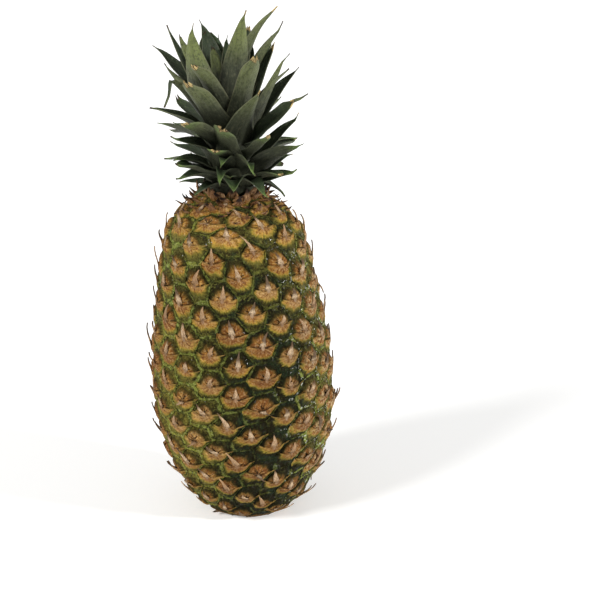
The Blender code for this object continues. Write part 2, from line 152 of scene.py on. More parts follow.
def mesh_places(mesh: bpy.types.Mesh) -> Array:
    """Places of a mesh's vertices, one row each."""
    flat = np.empty(3 * len(mesh.vertices))
    mesh.vertices.foreach_get("co", flat)
    return flat.reshape(-1, 3)


def add_wall(piece: Piece, thickness: float) -> None:
    """Give a flat piece a wall on its lower side."""
    wall = piece.modifiers.new("wall", "SOLIDIFY")
    wall.thickness = thickness
    wall.offset = -1.0
    apply_modifiers(piece)


def model_blade(columns: int, stations: int) -> Piece:
    """Model a flat blade with a wall: x from -1 to 1, y from root 0 to tip 1.

    Args:
        columns: Faces across the blade.
        stations: Faces along the blade.

    Returns:
        The blade. Its faces point inwards, because bending it into place
        mirrors it, which turns them out again.
    """
    deselect_all()
    bpy.ops.mesh.primitive_grid_add(x_subdivisions=columns, y_subdivisions=stations, size=2.0)
    blade = bpy.context.object
    bpy.ops.object.mode_set(mode="EDIT")
    bpy.ops.mesh.select_all(action="SELECT")
    bpy.ops.transform.resize(value=(1, 0.5, 1), center_override=(0, 0, 0))
    bpy.ops.transform.translate(value=(0, 0.5, 0))
    bpy.ops.object.mode_set(mode="OBJECT")
    add_wall(blade, 1.0)
    blade.data.flip_normals()
    return blade


def write_uv(template: Piece, name: str, places: Array) -> None:
    """Write each vertex's flat x and y into the template's UV map.

    Args:
        template: The object with one UV map.
        name: New name of the map.
        places: A place for each of its vertices.
    """
    layer = template.data.uv_layers[0]
    layer.name = name
    ends = np.empty(len(template.data.loops), int)
    template.data.loops.foreach_get("vertex_index", ends)
    layer.data.foreach_set("uv", places[:, :2][ends].ravel())


def place_copy(template: Piece, places: Array, **values: Union[float, Array]) -> Piece:
    """Copy a modelled template with its own mesh, bent to new places.

    Args:
        template: The object that was modelled once.
        places: A place for each of its vertices.
        values: Numbers that the material reads by name, one for all
            vertices or one for each.

    Returns:
        The linked copy.
    """
    copy = template.copy()
    copy.data = template.data.copy()
    copy.data.vertices.foreach_set("co", places.ravel())
    for name, value in values.items():
        layer = copy.data.attributes.new(name, "FLOAT", "POINT")
        layer.data.foreach_set("value", np.full(len(places), value))
    bpy.context.scene.collection.objects.link(copy)
    return copy


def join_copies(template: Piece, copies: Sequence[Piece], name: str) -> Piece:
    """Join the copies of a template into one smooth piece and drop the template.

    Args:
        template: The object that was modelled once.
        copies: Its copies, at the origin.
        name: Name of the joined piece.

    Returns:
        The joined object.
    """
    bpy.data.objects.remove(template, do_unlink=True)
    activate(copies[0])
    for copy in copies:
        copy.select_set(True)
    bpy.ops.object.join()
    whole = bpy.context.object
    whole.name = whole.data.name = name
    whole.data.shade_smooth()
    return whole


# --- shader maths -----------------------------------------------------


class Value:
    """A number in a node tree; Python's operators add Math nodes."""

    def __init__(self, board: "Board", socket: Socket) -> None:
        """Wrap a socket of the board's tree."""
        self.board = board
        self.socket = socket

    def __add__(self, other: Feed) -> "Value":
        """Sum."""
        return self.board.math("ADD", self, other)

    __radd__ = __add__

    def __sub__(self, other: Feed) -> "Value":
        """Difference."""
        return self.board.math("SUBTRACT", self, other)

    def __rsub__(self, other: Feed) -> "Value":
        """Difference from a plain number."""
        return self.board.math("SUBTRACT", other, self)

    def __mul__(self, other: Feed) -> "Value":
        """Product."""
        return self.board.math("MULTIPLY", self, other)

    __rmul__ = __mul__

    def __truediv__(self, other: Feed) -> "Value":
        """Quotient."""
        return self.board.math("DIVIDE", self, other)

    def __pow__(self, other: Feed) -> "Value":
        """Power."""
        return self.board.math("POWER", self, other)

    def __abs__(self) -> "Value":
        """Absolute value."""
        return self.board.math("ABSOLUTE", self)

    def math(self, operation: str, *others: Feed) -> "Value":
        """Any other Math node on this number."""
        return self.board.math(operation, self, *others)

    def step(self, low: float, high: float) -> "Value":
        """Ease from 0 at low to 1 at high; low may be the larger one."""
        settings = {"interpolation_type": "SMOOTHSTEP", "clamp": True}
        feeds = {"Value": self, "From Min": min(low, high), "From Max": max(low, high),
                 "To Min": float(low > high), "To Max": float(low <= high)}
        return Value(self.board, self.board.node("ShaderNodeMapRange", settings, feeds).outputs[0])


class Board:
    """The node tree of one material, with its Principled shader."""

    def __init__(self, name: str) -> None:
        """Start an empty material of that name."""
        self.material = bpy.data.materials.new(name)
        self.material.use_nodes = True
        self.tree = self.material.node_tree
        self.shader = self.tree.nodes["Principled BSDF"]
        self.spot = self.node("ShaderNodeTexCoord").outputs["Object"]
        parts = self.node("ShaderNodeSeparateXYZ", None, {0: self.spot}).outputs
        self.place = [Value(self, part) for part in parts]

    def node(self, kind: str, settings: Optional[dict] = None,
             feeds: Optional[dict] = None) -> bpy.types.Node:
        """Add a node.

        Args:
            kind: The node's type.
            settings: Its properties, set first; "stops" fills a ramp.
            feeds: Values or links of its sockets, by name or number.

        Returns:
            The new node.
        """
        node = self.tree.nodes.new(kind)
        for name, setting in (settings or {}).items():
            if name == "stops":
                band = node.color_ramp.elements
                while len(band) < len(setting):
                    band.new(1.0)
                for element, (place, colour) in zip(band, setting):
                    element.position = place
                    element.color = (*colour, 1.0)
            else:
                setattr(node, name, setting)
        for name, feed in (feeds or {}).items():
            self.feed(node.inputs[name], feed)
        return node

    def feed(self, socket: Socket, feed: Feed) -> None:
        """Link or set one socket."""
        if isinstance(feed, Value):
            feed = feed.socket
        if isinstance(feed, Socket):
            self.tree.links.new(feed, socket)
        elif isinstance(feed, tuple) and socket.type == "RGBA" and len(feed) == 3:
            socket.default_value = (*feed, 1.0)
        else:
            socket.default_value = feed

    def math(self, operation: str, *feeds: Feed) -> Value:
        """Add a Math node and return its result."""
        node = self.node("ShaderNodeMath", {"operation": operation}, dict(enumerate(feeds)))
        return Value(self, node.outputs[0])

    def vector(self, operation: str, *feeds: Feed) -> Socket:
        """Add a Vector Math node and return its vector."""
        return self.node("ShaderNodeVectorMath", {"operation": operation},
                         dict(enumerate(feeds))).outputs[0]

    def scaled(self, vector: Feed, factors: Tuple[float, float, float]) -> Socket:
        """A vector times a plain vector."""
        return self.vector("MULTIPLY", vector, factors)

    def attribute(self, name: str) -> Value:
        """A number stored on the mesh."""
        node = self.node("ShaderNodeAttribute", {"attribute_name": name})
        return Value(self, node.outputs["Fac"])

    def uv(self, name: str) -> Tuple[Value, Value]:
        """The two numbers of a UV map."""
        layer = self.node("ShaderNodeUVMap", {"uv_map": name}).outputs[0]
        parts = self.node("ShaderNodeSeparateXYZ", None, {0: layer}).outputs
        return Value(self, parts[0]), Value(self, parts[1])

    def join(self, x: Feed, y: Feed, z: Feed) -> Socket:
        """A vector from three numbers."""
        return self.node("ShaderNodeCombineXYZ", None, {0: x, 1: y, 2: z}).outputs[0]

    def noise(self, scale: float, detail: float = 2.0, rough: float = 0.5,
              vector: Optional[Socket] = None) -> Value:
        """Noise about 0.5, on Object coordinates unless a vector is given."""
        feeds = {"Vector": vector or self.spot, "Scale": scale,
                 "Detail": detail, "Roughness": rough}
        return Value(self, self.node("ShaderNodeTexNoise", None, feeds).outputs[0])

    def grain(self, detail: float, rough: float, x: Feed, y: Feed = 0.0, z: Feed = 0.0) -> Value:
        """Noise about 0.5 over numbers of its own, one bump for each whole number."""
        return self.noise(1.0, detail, rough, self.join(x, y, z))

    def mix(self, share: Feed, first: Feed, second: Feed) -> Socket:
        """Blend two colours."""
        settings = {"data_type": "RGBA", "clamp_factor": True}
        return self.node("ShaderNodeMix", settings, {0: share, 6: first, 7: second}).outputs[2]

    def layers(self, colour: Feed, *layers: Tuple[Feed, Feed]) -> Socket:
        """Paint layers over a colour in order, each a share and its own colour."""
        for share, tint in layers:
            colour = self.mix(share, colour, tint)
        return colour

    def ramp(self, value: Feed, stops: Sequence[Tuple[float, Colour]]) -> Socket:
        """Colour from a number by a list of stops."""
        return self.node("ShaderNodeValToRGB", {"stops": stops}, {0: value}).outputs[0]

    def finish(self, colour: Feed, roughness: Feed, height: Value, depth: float,
               specular: float = 0.5) -> bpy.types.Material:
        """Wire the shader.

        Args:
            colour: Base colour.
            roughness: Roughness.
            height: Height of the fine relief, in shares of depth.
            depth: Depth of the fine relief in metres.
            specular: Strength of the plain reflection.

        Returns:
            The finished material.
        """
        self.feed(self.shader.inputs["Base Color"], colour)
        self.feed(self.shader.inputs["Roughness"], roughness)
        self.shader.inputs["Specular IOR Level"].default_value = specular
        bump = self.node("ShaderNodeBump", None, {"Height": height, "Distance": depth})
        self.feed(self.shader.inputs["Normal"], bump.outputs[0])
        return self.material


# --- the fruit's outline and rows of eyes -----------------------------


@dataclass
class Skin:
    """The fruit's smooth outline, with tables along its meridian."""

    profile: Points = (
        (0, 24.0), (8, 33.8), (22, 42.4), (45, 51.6), (75, 56.0), (105, 54.9),
        (135, 50.4), (160, 46.2), (180, 41.2), (193, 31.0), (202, 16.0),
    )
    lean: float = 0.0301
    bend: float = 0.0507
    eye_area: float = 301.0 * MM * MM
    eye_shrink: float = 35 * MM
    first_eye: float = 0.45
    last_eye: float = 0.35
    least_eye: float = 0.2
    relief_fade: float = 11 * MM
    sways: Points = ((0.9 * MM, 95.0), (0.45 * MM, 270.0))
    sway_fade: float = 0.25
    sway_seeds: Range = (3.0, 9.0)
    steps: int = 400

    def __post_init__(self) -> None:
        """Fill the tables."""
        knots = np.array(self.profile, float) * MM
        heights, radii = knots[:, 0], knots[:, 1]
        slopes = self.monotone_slopes(heights, radii)
        self.height = heights[-1]
        self.z = np.linspace(0.0, self.height, self.steps)
        span = np.clip(np.searchsorted(heights, self.z, "right") - 1, 0, len(heights) - 2)
        width = heights[span + 1] - heights[span]
        t = (self.z - heights[span]) / width
        self.r = (
            (1 + 2 * t) * (1 - t) ** 2 * radii[span]
            + t * (1 - t) ** 2 * width * slopes[span]
            + t * t * (3 - 2 * t) * radii[span + 1]
            + t * t * (t - 1) * width * slopes[span + 1]
        )
        run = np.hypot(np.diff(self.z), np.diff(self.r))
        mean_r = 0.5 * (self.r[1:] + self.r[:-1])
        self.s = np.concatenate([[0.0], np.cumsum(run)])
        self.length = self.s[-1]
        self.stretch = np.concatenate([[0.0], np.cumsum(run / mean_r)])
        grown = self.eye_size(self.s)
        area = self.eye_area * 0.5 * (grown[1:] + grown[:-1])
        self.eyes = np.concatenate([[0.0], np.cumsum(TURN * mean_r * run / area)])
        self.slope_r = np.gradient(self.r, self.s)
        self.slope_z = np.gradient(self.z, self.s)

    @staticmethod
    def monotone_slopes(xs: Array, ys: Array) -> Array:
        """Slopes of a smooth curve through the points that never overshoots.

        Args:
            xs: Places of the points.
            ys: Values at the points.

        Returns:
            The slope at each point.
        """
        step = np.diff(xs)
        rise = np.diff(ys) / step
        before, after = 2 * step[1:] + step[:-1], step[1:] + 2 * step[:-1]
        mean = (before + after) / (before / rise[:-1] + after / rise[1:])
        slopes = np.zeros(len(xs))
        slopes[1:-1] = np.where(rise[:-1] * rise[1:] > 0, mean, 0.0)
        for end, near in ((0, 1), (-1, -2)):
            first, second = step[end], step[near]
            slopes[end] = ((2 * first + second) * rise[end] - first * rise[near]) / (first + second)
        return slopes

    def eye_size(self, s: Array) -> Array:
        """Share of the full-grown area that an eye has at skin length s."""
        low = self.first_eye + (1 - self.first_eye) * s / self.eye_shrink
        high = self.last_eye + (1 - self.last_eye) * (self.length - s) / self.eye_shrink
        return np.clip(np.minimum(low, high), self.least_eye, 1.0)

    def grown(self, stretch: Array) -> Array:
        """Share of the full-grown width that an eye has."""
        return np.sqrt(self.eye_size(np.interp(stretch, self.stretch, self.s)))

    def drift(self, z: Array) -> Array:
        """How far the axis has moved towards -X at height z."""
        return self.lean * z + self.bend * z * z

    def swayed(self, azimuth: Array, stretch: Array) -> Tuple[Array, Array]:
        """Shift places along the skin a little, so that no line on it runs straight.

        Args:
            azimuth: Turns round the axis in radians.
            stretch: Places along the meridian, counted in local radii.

        Returns:
            The shifted azimuths and stretches.
        """
        r = np.interp(stretch, self.stretch, self.r)
        z = np.interp(stretch, self.stretch, self.z)
        spots = np.stack([r * np.cos(azimuth), r * np.sin(azimuth), z], axis=1)
        keep = np.clip(np.minimum(stretch, self.stretch[-1] - stretch) / self.sway_fade, 0, 1) / r
        turned, raised = self.sway_seeds
        for reach, scale in self.sways:
            azimuth = azimuth + rough_field(spots, scale, turned) * keep * reach
            stretch = stretch + rough_field(spots, scale, raised) * keep * reach
        return azimuth, stretch

    def points(self, azimuth: Array, stretch: Array, lift: Array) -> Array:
        """Places over the skin, with their lift faded out near both ends.

        Args:
            azimuth: Turns round the axis in radians.
            stretch: Places along the meridian, counted in local radii.
            lift: Heights over the skin.

        Returns:
            One place a row.
        """
        azimuth, stretch = self.swayed(azimuth, np.clip(stretch, 0.0, self.stretch[-1]))
        s, z, r, dr, dz = (
            np.interp(stretch, self.stretch, table)
            for table in (self.s, self.z, self.r, self.slope_r, self.slope_z)
        )
        fade = np.minimum(np.minimum(s, self.length - s), self.relief_fade) / self.relief_fade
        radius = r + lift * fade * dz
        height = np.maximum(z - lift * fade * dr, 0.0)
        return np.stack([
            radius * np.cos(azimuth) - self.drift(z), radius * np.sin(azimuth), height,
        ], axis=1)

    def shoulder(self, x: Array, y: Array) -> Tuple[Array, Array]:
        """Height of the upper skin under a place, and the place's distance from the axis."""
        offset = np.hypot(x + self.drift(self.height), y)
        widest = int(np.argmax(self.r))
        return np.interp(offset, self.r[widest:][::-1], self.z[widest:][::-1]), offset


@dataclass
class Eye:
    """One eye's middle and the corners of its cell on the flat skin."""

    azimuth: float
    stretch: float
    radius: float
    grown: float
    corners: List[Tuple[int, float, float]]
    rng: random.Random
    tag: float

    def border(self, angles: Array) -> Array:
        """Distance from the middle to the cell's border.

        Args:
            angles: Directions on the flat skin.

        Returns:
            The distance in each direction.
        """
        far, level = 1e9, 1e-12
        reach = np.full(len(angles), far)
        spots = np.array([(a - self.azimuth, b - self.stretch) for _, a, b in self.corners])
        for first, second in zip(spots, np.roll(spots, -1, axis=0)):
            side = second - first
            cross = first[0] * side[1] - first[1] * side[0]
            facing = np.cos(angles) * side[1] - np.sin(angles) * side[0]
            distance = np.where(
                np.abs(facing) > level, cross / np.where(facing == 0, 1, facing), far)
            reach = np.where((distance > 0) & (distance < reach), distance, reach)
        return reach

    def mean_reach(self) -> float:
        """Mean distance from the middle to the border."""
        return float(self.border(np.linspace(0, TURN, 24, endpoint=False)).mean())

    def flat_places(self, x: Array, y: Array) -> Tuple[Array, Array]:
        """Azimuth and stretch of places given in the eye's own units.

        Args:
            x: Across, 1 at the cell's border.
            y: Up the fruit, 1 at the cell's border.

        Returns:
            Azimuths and stretches.
        """
        share, angles = np.hypot(x, y), np.arctan2(y, x)
        pull = smooth_step(0.5, 1.0, share)
        reach = self.border(angles) * pull + self.mean_reach() * (1 - pull)
        return (self.azimuth + share * reach * np.cos(angles),
                self.stretch + share * reach * np.sin(angles))


@dataclass
class EyeRows:
    """The spiral rows of eyes over the skin."""

    skin: Skin
    below: int = 131
    above: int = 102
    start: float = 0.596
    turn: float = math.radians(137.083)
    phase: float = 0.0146 - math.pi / 2
    sway: float = 0.3104
    sway_rate: float = 2.4
    sway_shift: float = 0.071
    rim_margin: float = 0.25
    low_guides: int = 14
    top_guides: int = 9
    overlap: float = 2.0
    seed: int = 100
    eyes: List[Eye] = field(default_factory=list)

    def __post_init__(self) -> None:
        """Find every eye and its cell."""
        places = self.places()
        for number, corners in self.cells(places).items():
            azimuth, stretch = places[number]
            rng = random.Random(self.seed + number)
            self.eyes.append(Eye(
                azimuth, stretch, float(np.interp(stretch, self.skin.stretch, self.skin.r)),
                float(self.skin.grown(np.array([stretch]))[0]), corners, rng, rng.random(),
            ))

    def places(self) -> List[Range]:
        """Azimuth and stretch of every eye, in spiral order from the base."""
        places = []
        for index in range(-self.below, self.above + 1):
            along = index + self.below + self.start
            stretch = float(np.interp(along, self.skin.eyes, self.skin.stretch))
            swing = 1 - math.cos(self.sway_rate * (index / 100 + self.sway_shift))
            azimuth = (self.phase - self.turn * index - self.sway * swing) % TURN
            places.append((azimuth, stretch))
        return places

    def cells(self, places: List[Range]) -> Dict[int, List[Tuple[int, float, float]]]:
        """Corners of every eye's cell on the flat skin.

        Args:
            places: Azimuth and stretch of the eyes.

        Returns:
            For each eye its corners: a key, an azimuth and a stretch.
        """
        guides = [(TURN * i / count, stretch) for count, stretch in (
            (self.low_guides, -self.rim_margin),
            (self.top_guides, float(self.skin.stretch[-1]) + self.rim_margin),
        ) for i in range(count)]
        flat, owners = [], []
        for wrap in (-1, 0, 1):
            for number, (azimuth, stretch) in enumerate(places + guides):
                if -self.overlap < azimuth + wrap * TURN < TURN + self.overlap:
                    flat.append(Vector((azimuth + wrap * TURN, stretch)))
                    owners.append((number, wrap))
        _, _, faces, sources, _, _ = delaunay_2d_cdt(flat, [], [], 0, 1e-9)
        cells: Dict[int, List[Tuple[int, float, float]]] = {i: [] for i in range(len(places))}
        for key, face in enumerate(faces):
            ends = [sources[i][0] for i in face]
            centre = sum((flat[i] for i in ends), Vector((0.0, 0.0))) / 3
            if not 0.0 <= centre.x < TURN:
                continue
            for i in ends:
                number, wrap = owners[i]
                if number < len(places):
                    cells[number].append((key, centre.x - wrap * TURN, centre.y))
        for number, corners in cells.items():
            azimuth, stretch = places[number]
            corners.sort(key=lambda c: math.atan2(c[2] - stretch, c[1] - azimuth))
        return cells


# --- rind -------------------------------------------------------------


@dataclass(frozen=True)
class EyeFinish:
    """One eye: an orange-brown dome over a streaked skirt, both fading into a dark green groove,
    partly painted shade.
    """

    heart: Colour = (0.120, 0.050, 0.018)
    dome: Colour = (0.488, 0.232, 0.048)
    tan: Colour = (0.420, 0.245, 0.085)
    rust: Colour = (0.220, 0.080, 0.018)
    dome_edge: Colour = (0.220, 0.105, 0.018)
    shadow: Colour = (0.080, 0.052, 0.011)
    # Near-black green, partly painted shade.
    groove: Colour = (0.011, 0.010, 0.003)
    sprout: Colour = (0.135, 0.132, 0.032)
    pine: Colour = (0.016, 0.029, 0.0135)
    bank: Colour = (0.095, 0.094, 0.020)
    skirt: Colour = (0.370, 0.178, 0.052)
    amber: Colour = (0.460, 0.255, 0.046)
    lime: Colour = (0.320, 0.240, 0.038)
    moss: Colour = (0.115, 0.103, 0.020)
    lichen: Colour = (0.195, 0.168, 0.040)
    blush: Colour = (0.130, 0.038, 0.014)
    gold: Colour = (0.680, 0.410, 0.070)
    dust: Colour = (0.660, 0.450, 0.235)
    straw: Colour = (0.620, 0.480, 0.260)
    # Dark colour of the cracks and pits, and of the painted shade along the crease.
    crack_and_crease_shade: Colour = (0.014, 0.008, 0.004)

    def paint(self, board: Board, x: Value, y: Value,
              seed: Value) -> Tuple[Socket, Value, Value]:
        """Colour an eye.

        Args:
            board: The material's tree.
            x: Across the eye, 1 at its border.
            y: Up the eye, 1 at its border.
            seed: The eye's own number.

        Returns:
            The colour, the height of the fine relief, and the distance from
            the eye's middle with the same unevenness as the colour.
        """
        fine = board.noise(800, 2, 0.6)
        middle = board.noise(340, 3, 0.6)
        own = board.grain(0, 0.5, seed * 613, seed * 271, seed * 97)
        size = board.grain(0, 0.5, seed * 331, seed * 177, seed * 59)
        lean = board.grain(0, 0.5, seed * 149, seed * 83, seed * 211) - 0.5
        low = y + 0.02 + (own - 0.5) * 0.3
        crease = y - abs(x) ** 1.5 * 0.17 + 0.05 + x * lean * 0.3 + (middle - 0.5) * 0.22
        below = crease.step(0.05, -0.06)
        wing = board.grain(1, 0.5, x * 1.1 + seed * 19, seed * 47, seed * 71).step(0.35, 0.65)
        share = (x * x * (0.95 - below * (0.14 + wing * 0.46))
                 + low * low * (1.0 + 0.25 * below)) ** 0.5
        direction = board.vector("NORMALIZE", board.join(x, low, 0.0))
        spin = board.vector("ADD", board.scaled(direction, (4.8, 4.8, 4.8)),
                            board.join(seed * 37, seed * 91, share * 1.5))
        streak = board.noise(1.0, 3, 0.6, spin)
        side, _, z = board.place
        edge = abs(side + 0.004)
        high, upward = z.step(0.150, 0.190), z.step(0.120, 0.160)
        papery = side.step(0.020, 0.042)
        # Middle of the front, whose grooves get painted shade below.
        centre = side.step(-0.030, -0.004) * side.step(0.050, 0.030)
        # Painted shade over the low middle of the front: it widens the dark ramp, darkens the
        # grooves and dims the domes there.
        painted_shade_low_front = centre * z.step(0.150, 0.110)
        reach = (share + (middle - 0.5) * (papery * 0.26 + 0.34)
                 + (streak - 0.5) * (below * 0.20 + 0.12) + (size - 0.5) * 0.36
                 + (fine - 0.5) * 0.16 - upward * 0.010 + painted_shade_low_front * 0.06)
        # Upper half: the dome fades through its darker rim and painted shade into the groove.
        upper = board.ramp(reach, (
            (0.0, self.heart), (0.10, self.dome), (0.31, self.dome), (0.48, self.dome_edge),
            (0.61, self.shadow), (0.75, self.groove), (0.92, self.groove), (1.0, self.bank),
        ))
        lower = board.ramp(reach, (
            (0.0, self.heart), (0.12, self.skirt), (0.36, self.skirt), (0.52, self.amber),
            (0.65, self.lime), (0.77, self.moss), (0.86, self.groove), (0.95, self.groove),
            (1.0, self.bank),
        ))
        dull = board.grain(1, 0.5, x * 1.3 + seed * 57, y * 1.3, seed * 23).step(0.45, 0.62)
        lower = board.mix(dull * reach.step(0.50, 0.66) * 0.65, lower, self.moss)
        inside = reach.step(0.70, 0.48)
        # Painted light: lighter greens in the grooves of the left and right flanks, and towards the
        # top.
        groove_painted_light = edge.step(0.018, 0.044) + side.step(0.020, 0.040) * (upward * 0.75 + 0.65) + high
        shaded = middle.step(0.64, 0.44) * 0.5 + painted_shade_low_front * 0.60
        needle = reach.step(0.76, 0.92) * board.noise(130, 2, 0.5).step(0.40, 0.58)
        # Three real cracks from the middle, joined with painted shade along the crease under the
        # skirt's upper edge.
        crack_and_crease_shade = self.cracks(x, y, seed, middle).math(
            "MAXIMUM", crease.step(-0.06, 0.0) * crease.step(0.10, 0.04)
            * abs(x).step(0.92, 0.55) * (wing * 0.7 + 0.3) * middle.step(0.34, 0.56))
        colour = board.layers(
            board.mix(below, upper, lower),
            (own.step(0.50, 0.70) * inside * 0.7, self.tan),
            (size.step(0.50, 0.32) * inside * 0.6, self.rust),
            (high * inside * middle.step(0.40, 0.60) * 0.34, self.gold),
            # Painted shade: domes at the left and right outline darkened.
            (edge.step(0.038, 0.052) * inside * 0.3, self.rust),
            (streak.step(0.54, 0.63) * reach.step(0.78, 0.45) * 0.75, self.blush),
            (streak.step(0.46, 0.36) * reach.step(0.62, 0.15) * 0.5, self.dust),
            (streak.step(0.47, 0.37) * inside * 0.18, self.gold),
            (fine.step(0.54, 0.63) * inside * (papery * 0.55 + 0.34), self.dust),
            (middle.step(0.44, 0.60) * inside * papery * 0.55, self.straw),
            (fine.step(0.46, 0.36) * inside * (papery * 0.25 + 0.60), self.blush),
            (middle.step(0.50, 0.38) * papery * reach.step(0.80, 0.60) * 0.55, self.rust),
            (reach.step(0.70, 0.90) * fine.step(0.54, 0.64) * 0.85, self.sprout),
            # Painted light on the grooves of the flanks and the top.
            (groove_painted_light * reach.step(0.58, 0.80) * (middle - 0.2), self.lichen),
            # Painted shade: grooves darkened in the middle of the front, and the dark needle
            # texture thickened there.
            (centre * reach.step(0.62, 0.80) * shaded, self.groove),
            (needle * (centre * 0.60 + 0.12), self.pine),
            (fine.step(0.49, 0.38) * reach.step(0.60, 0.75) * 0.65, self.crack_and_crease_shade),
            # Painted shade: domes dimmed over the low middle of the front.
            (painted_shade_low_front * inside * 0.33, self.heart),
            # Cracks, and the painted shade of the crease.
            (crack_and_crease_shade * 0.9, self.crack_and_crease_shade),
        )
        return colour, fine * 0.7 + middle * 0.6 + streak * 0.9 - crack_and_crease_shade * 0.5, reach

    def cracks(self, x: Value, y: Value, seed: Value, middle: Value) -> Value:
        """Three dark cracks that run out from an eye's middle.

        Args:
            x: Across the eye, 1 at its border.
            y: Up the eye, 1 at its border.
            seed: The eye's own number.
            middle: Noise that makes the cracks waver.

        Returns:
            1 in a crack and 0 beside it.
        """
        lines = []
        for lean, swing in ((0.75, 0.9), (-0.85, 0.9), (0.05, 1.4)):
            tilt = lean + (seed * (7.0 + swing)).math("FRACT") * swing - 0.5 * swing
            rise, run = tilt.math("COSINE"), tilt.math("SINE")
            off = abs(x * rise - y * run + (middle - 0.5) * 0.30)
            along = x * run + y * rise
            lines.append(off.step(0.045, 0.012) * along.step(0.02, 0.10) * along.step(0.50, 0.28))
        return lines[0].math("MAXIMUM", lines[1]).math("MAXIMUM", lines[2])


@dataclass(frozen=True)
class RindFinish:
    """The eyes, with a mottled yellow-green ridge between them."""

    eye: EyeFinish = EyeFinish()
    ridge: Colour = (0.236, 0.278, 0.053)
    ripe: Colour = (0.310, 0.260, 0.038)
    leafy: Colour = (0.048, 0.064, 0.014)
    speck: Colour = (0.470, 0.460, 0.190)
    # Painted highlight: white glints.
    painted_glint: Colour = (0.780, 0.790, 0.700)
    base: Colour = (0.12, 0.062, 0.020)

    def material(self) -> bpy.types.Material:
        """Build the rind's material."""
        board = Board("pineapple_rind")
        x, y = board.uv("eye")
        seed, _ = board.uv("seed")
        side, _, z = board.place
        flesh, height, reach = self.eye.paint(board, x, y, seed)
        grain = board.noise(900, 2, 0.6)
        middle = board.noise(380, 3, 0.65)
        patch = board.noise(75, 3, 0.55)
        broad = board.noise(30, 2, 0.5)
        ripeness = side.step(0.00, -0.05) * z.step(0.13, 0.02) * 0.6 + broad.step(0.45, 0.75) * 0.5
        crest = board.layers(
            self.ridge,
            (ripeness, self.ripe),
            (middle.step(0.52, 0.38), self.leafy),
            (grain.step(0.56, 0.66) * 0.6, self.speck),
            (grain.step(0.45, 0.36) * 0.7, self.eye.groove),
        )
        share = (x * x + y * y) ** 0.5
        width = patch.step(0.35, 0.70) * 0.08 + side.step(0.02, -0.05) * 0.06
        line = (share + width + (middle - 0.5) * 0.32).step(0.93, 1.03)
        broken = board.noise(150, 2, 0.5).step(0.30, 0.50)
        # Ridge lines show more on the left and right flanks: partly their own tone, partly painted
        # light.
        ridge_tone_and_painted_light = side.step(0.01, -0.04) + side.step(0.020, 0.036)
        strength = broken * (patch.step(0.35, 0.60) * (0.20 + ridge_tone_and_painted_light * 0.20) + ridge_tone_and_painted_light * 0.45 + 0.10)
        # Lower left grooves: riper yellow-green, partly real and partly painted light on the lit
        # side.
        ripe_and_painted_light = side.step(0.00, -0.05) * z.step(0.20, 0.05) * reach.step(0.65, 0.85)
        # Painted highlights: small white glints near the eyes' borders on the right side.
        glint_spots = board.noise(560, 1, 0.5).step(0.63, 0.67) * patch.step(0.35, 0.50)
        colour = board.layers(
            flesh,
            # Partly real ripeness, partly painted light on the lower left.
            (ripe_and_painted_light * middle.step(0.35, 0.65) * 0.6, self.ripe),
            (line * strength, crest),
            # Painted glints.
            (glint_spots * share.step(0.84, 0.92) * side.step(0.012, 0.035) * 0.85, self.painted_glint),
            (z.step(0.004, 0.0), self.base),
        )
        wet = (middle.step(0.50, 0.62) * share.step(0.6, 0.85) * grain.step(0.48, 0.60)
               * (side.step(0.0, 0.04) * 0.5 + 0.4))
        board.feed(board.shader.inputs["Coat Weight"], wet)
        board.shader.inputs["Coat Roughness"].default_value = 0.12
        relief = height + (grain * 0.4 + middle * 1.2) * line
        return board.finish(colour, 0.58 + grain * 0.2, relief, 0.0026, 0.05)


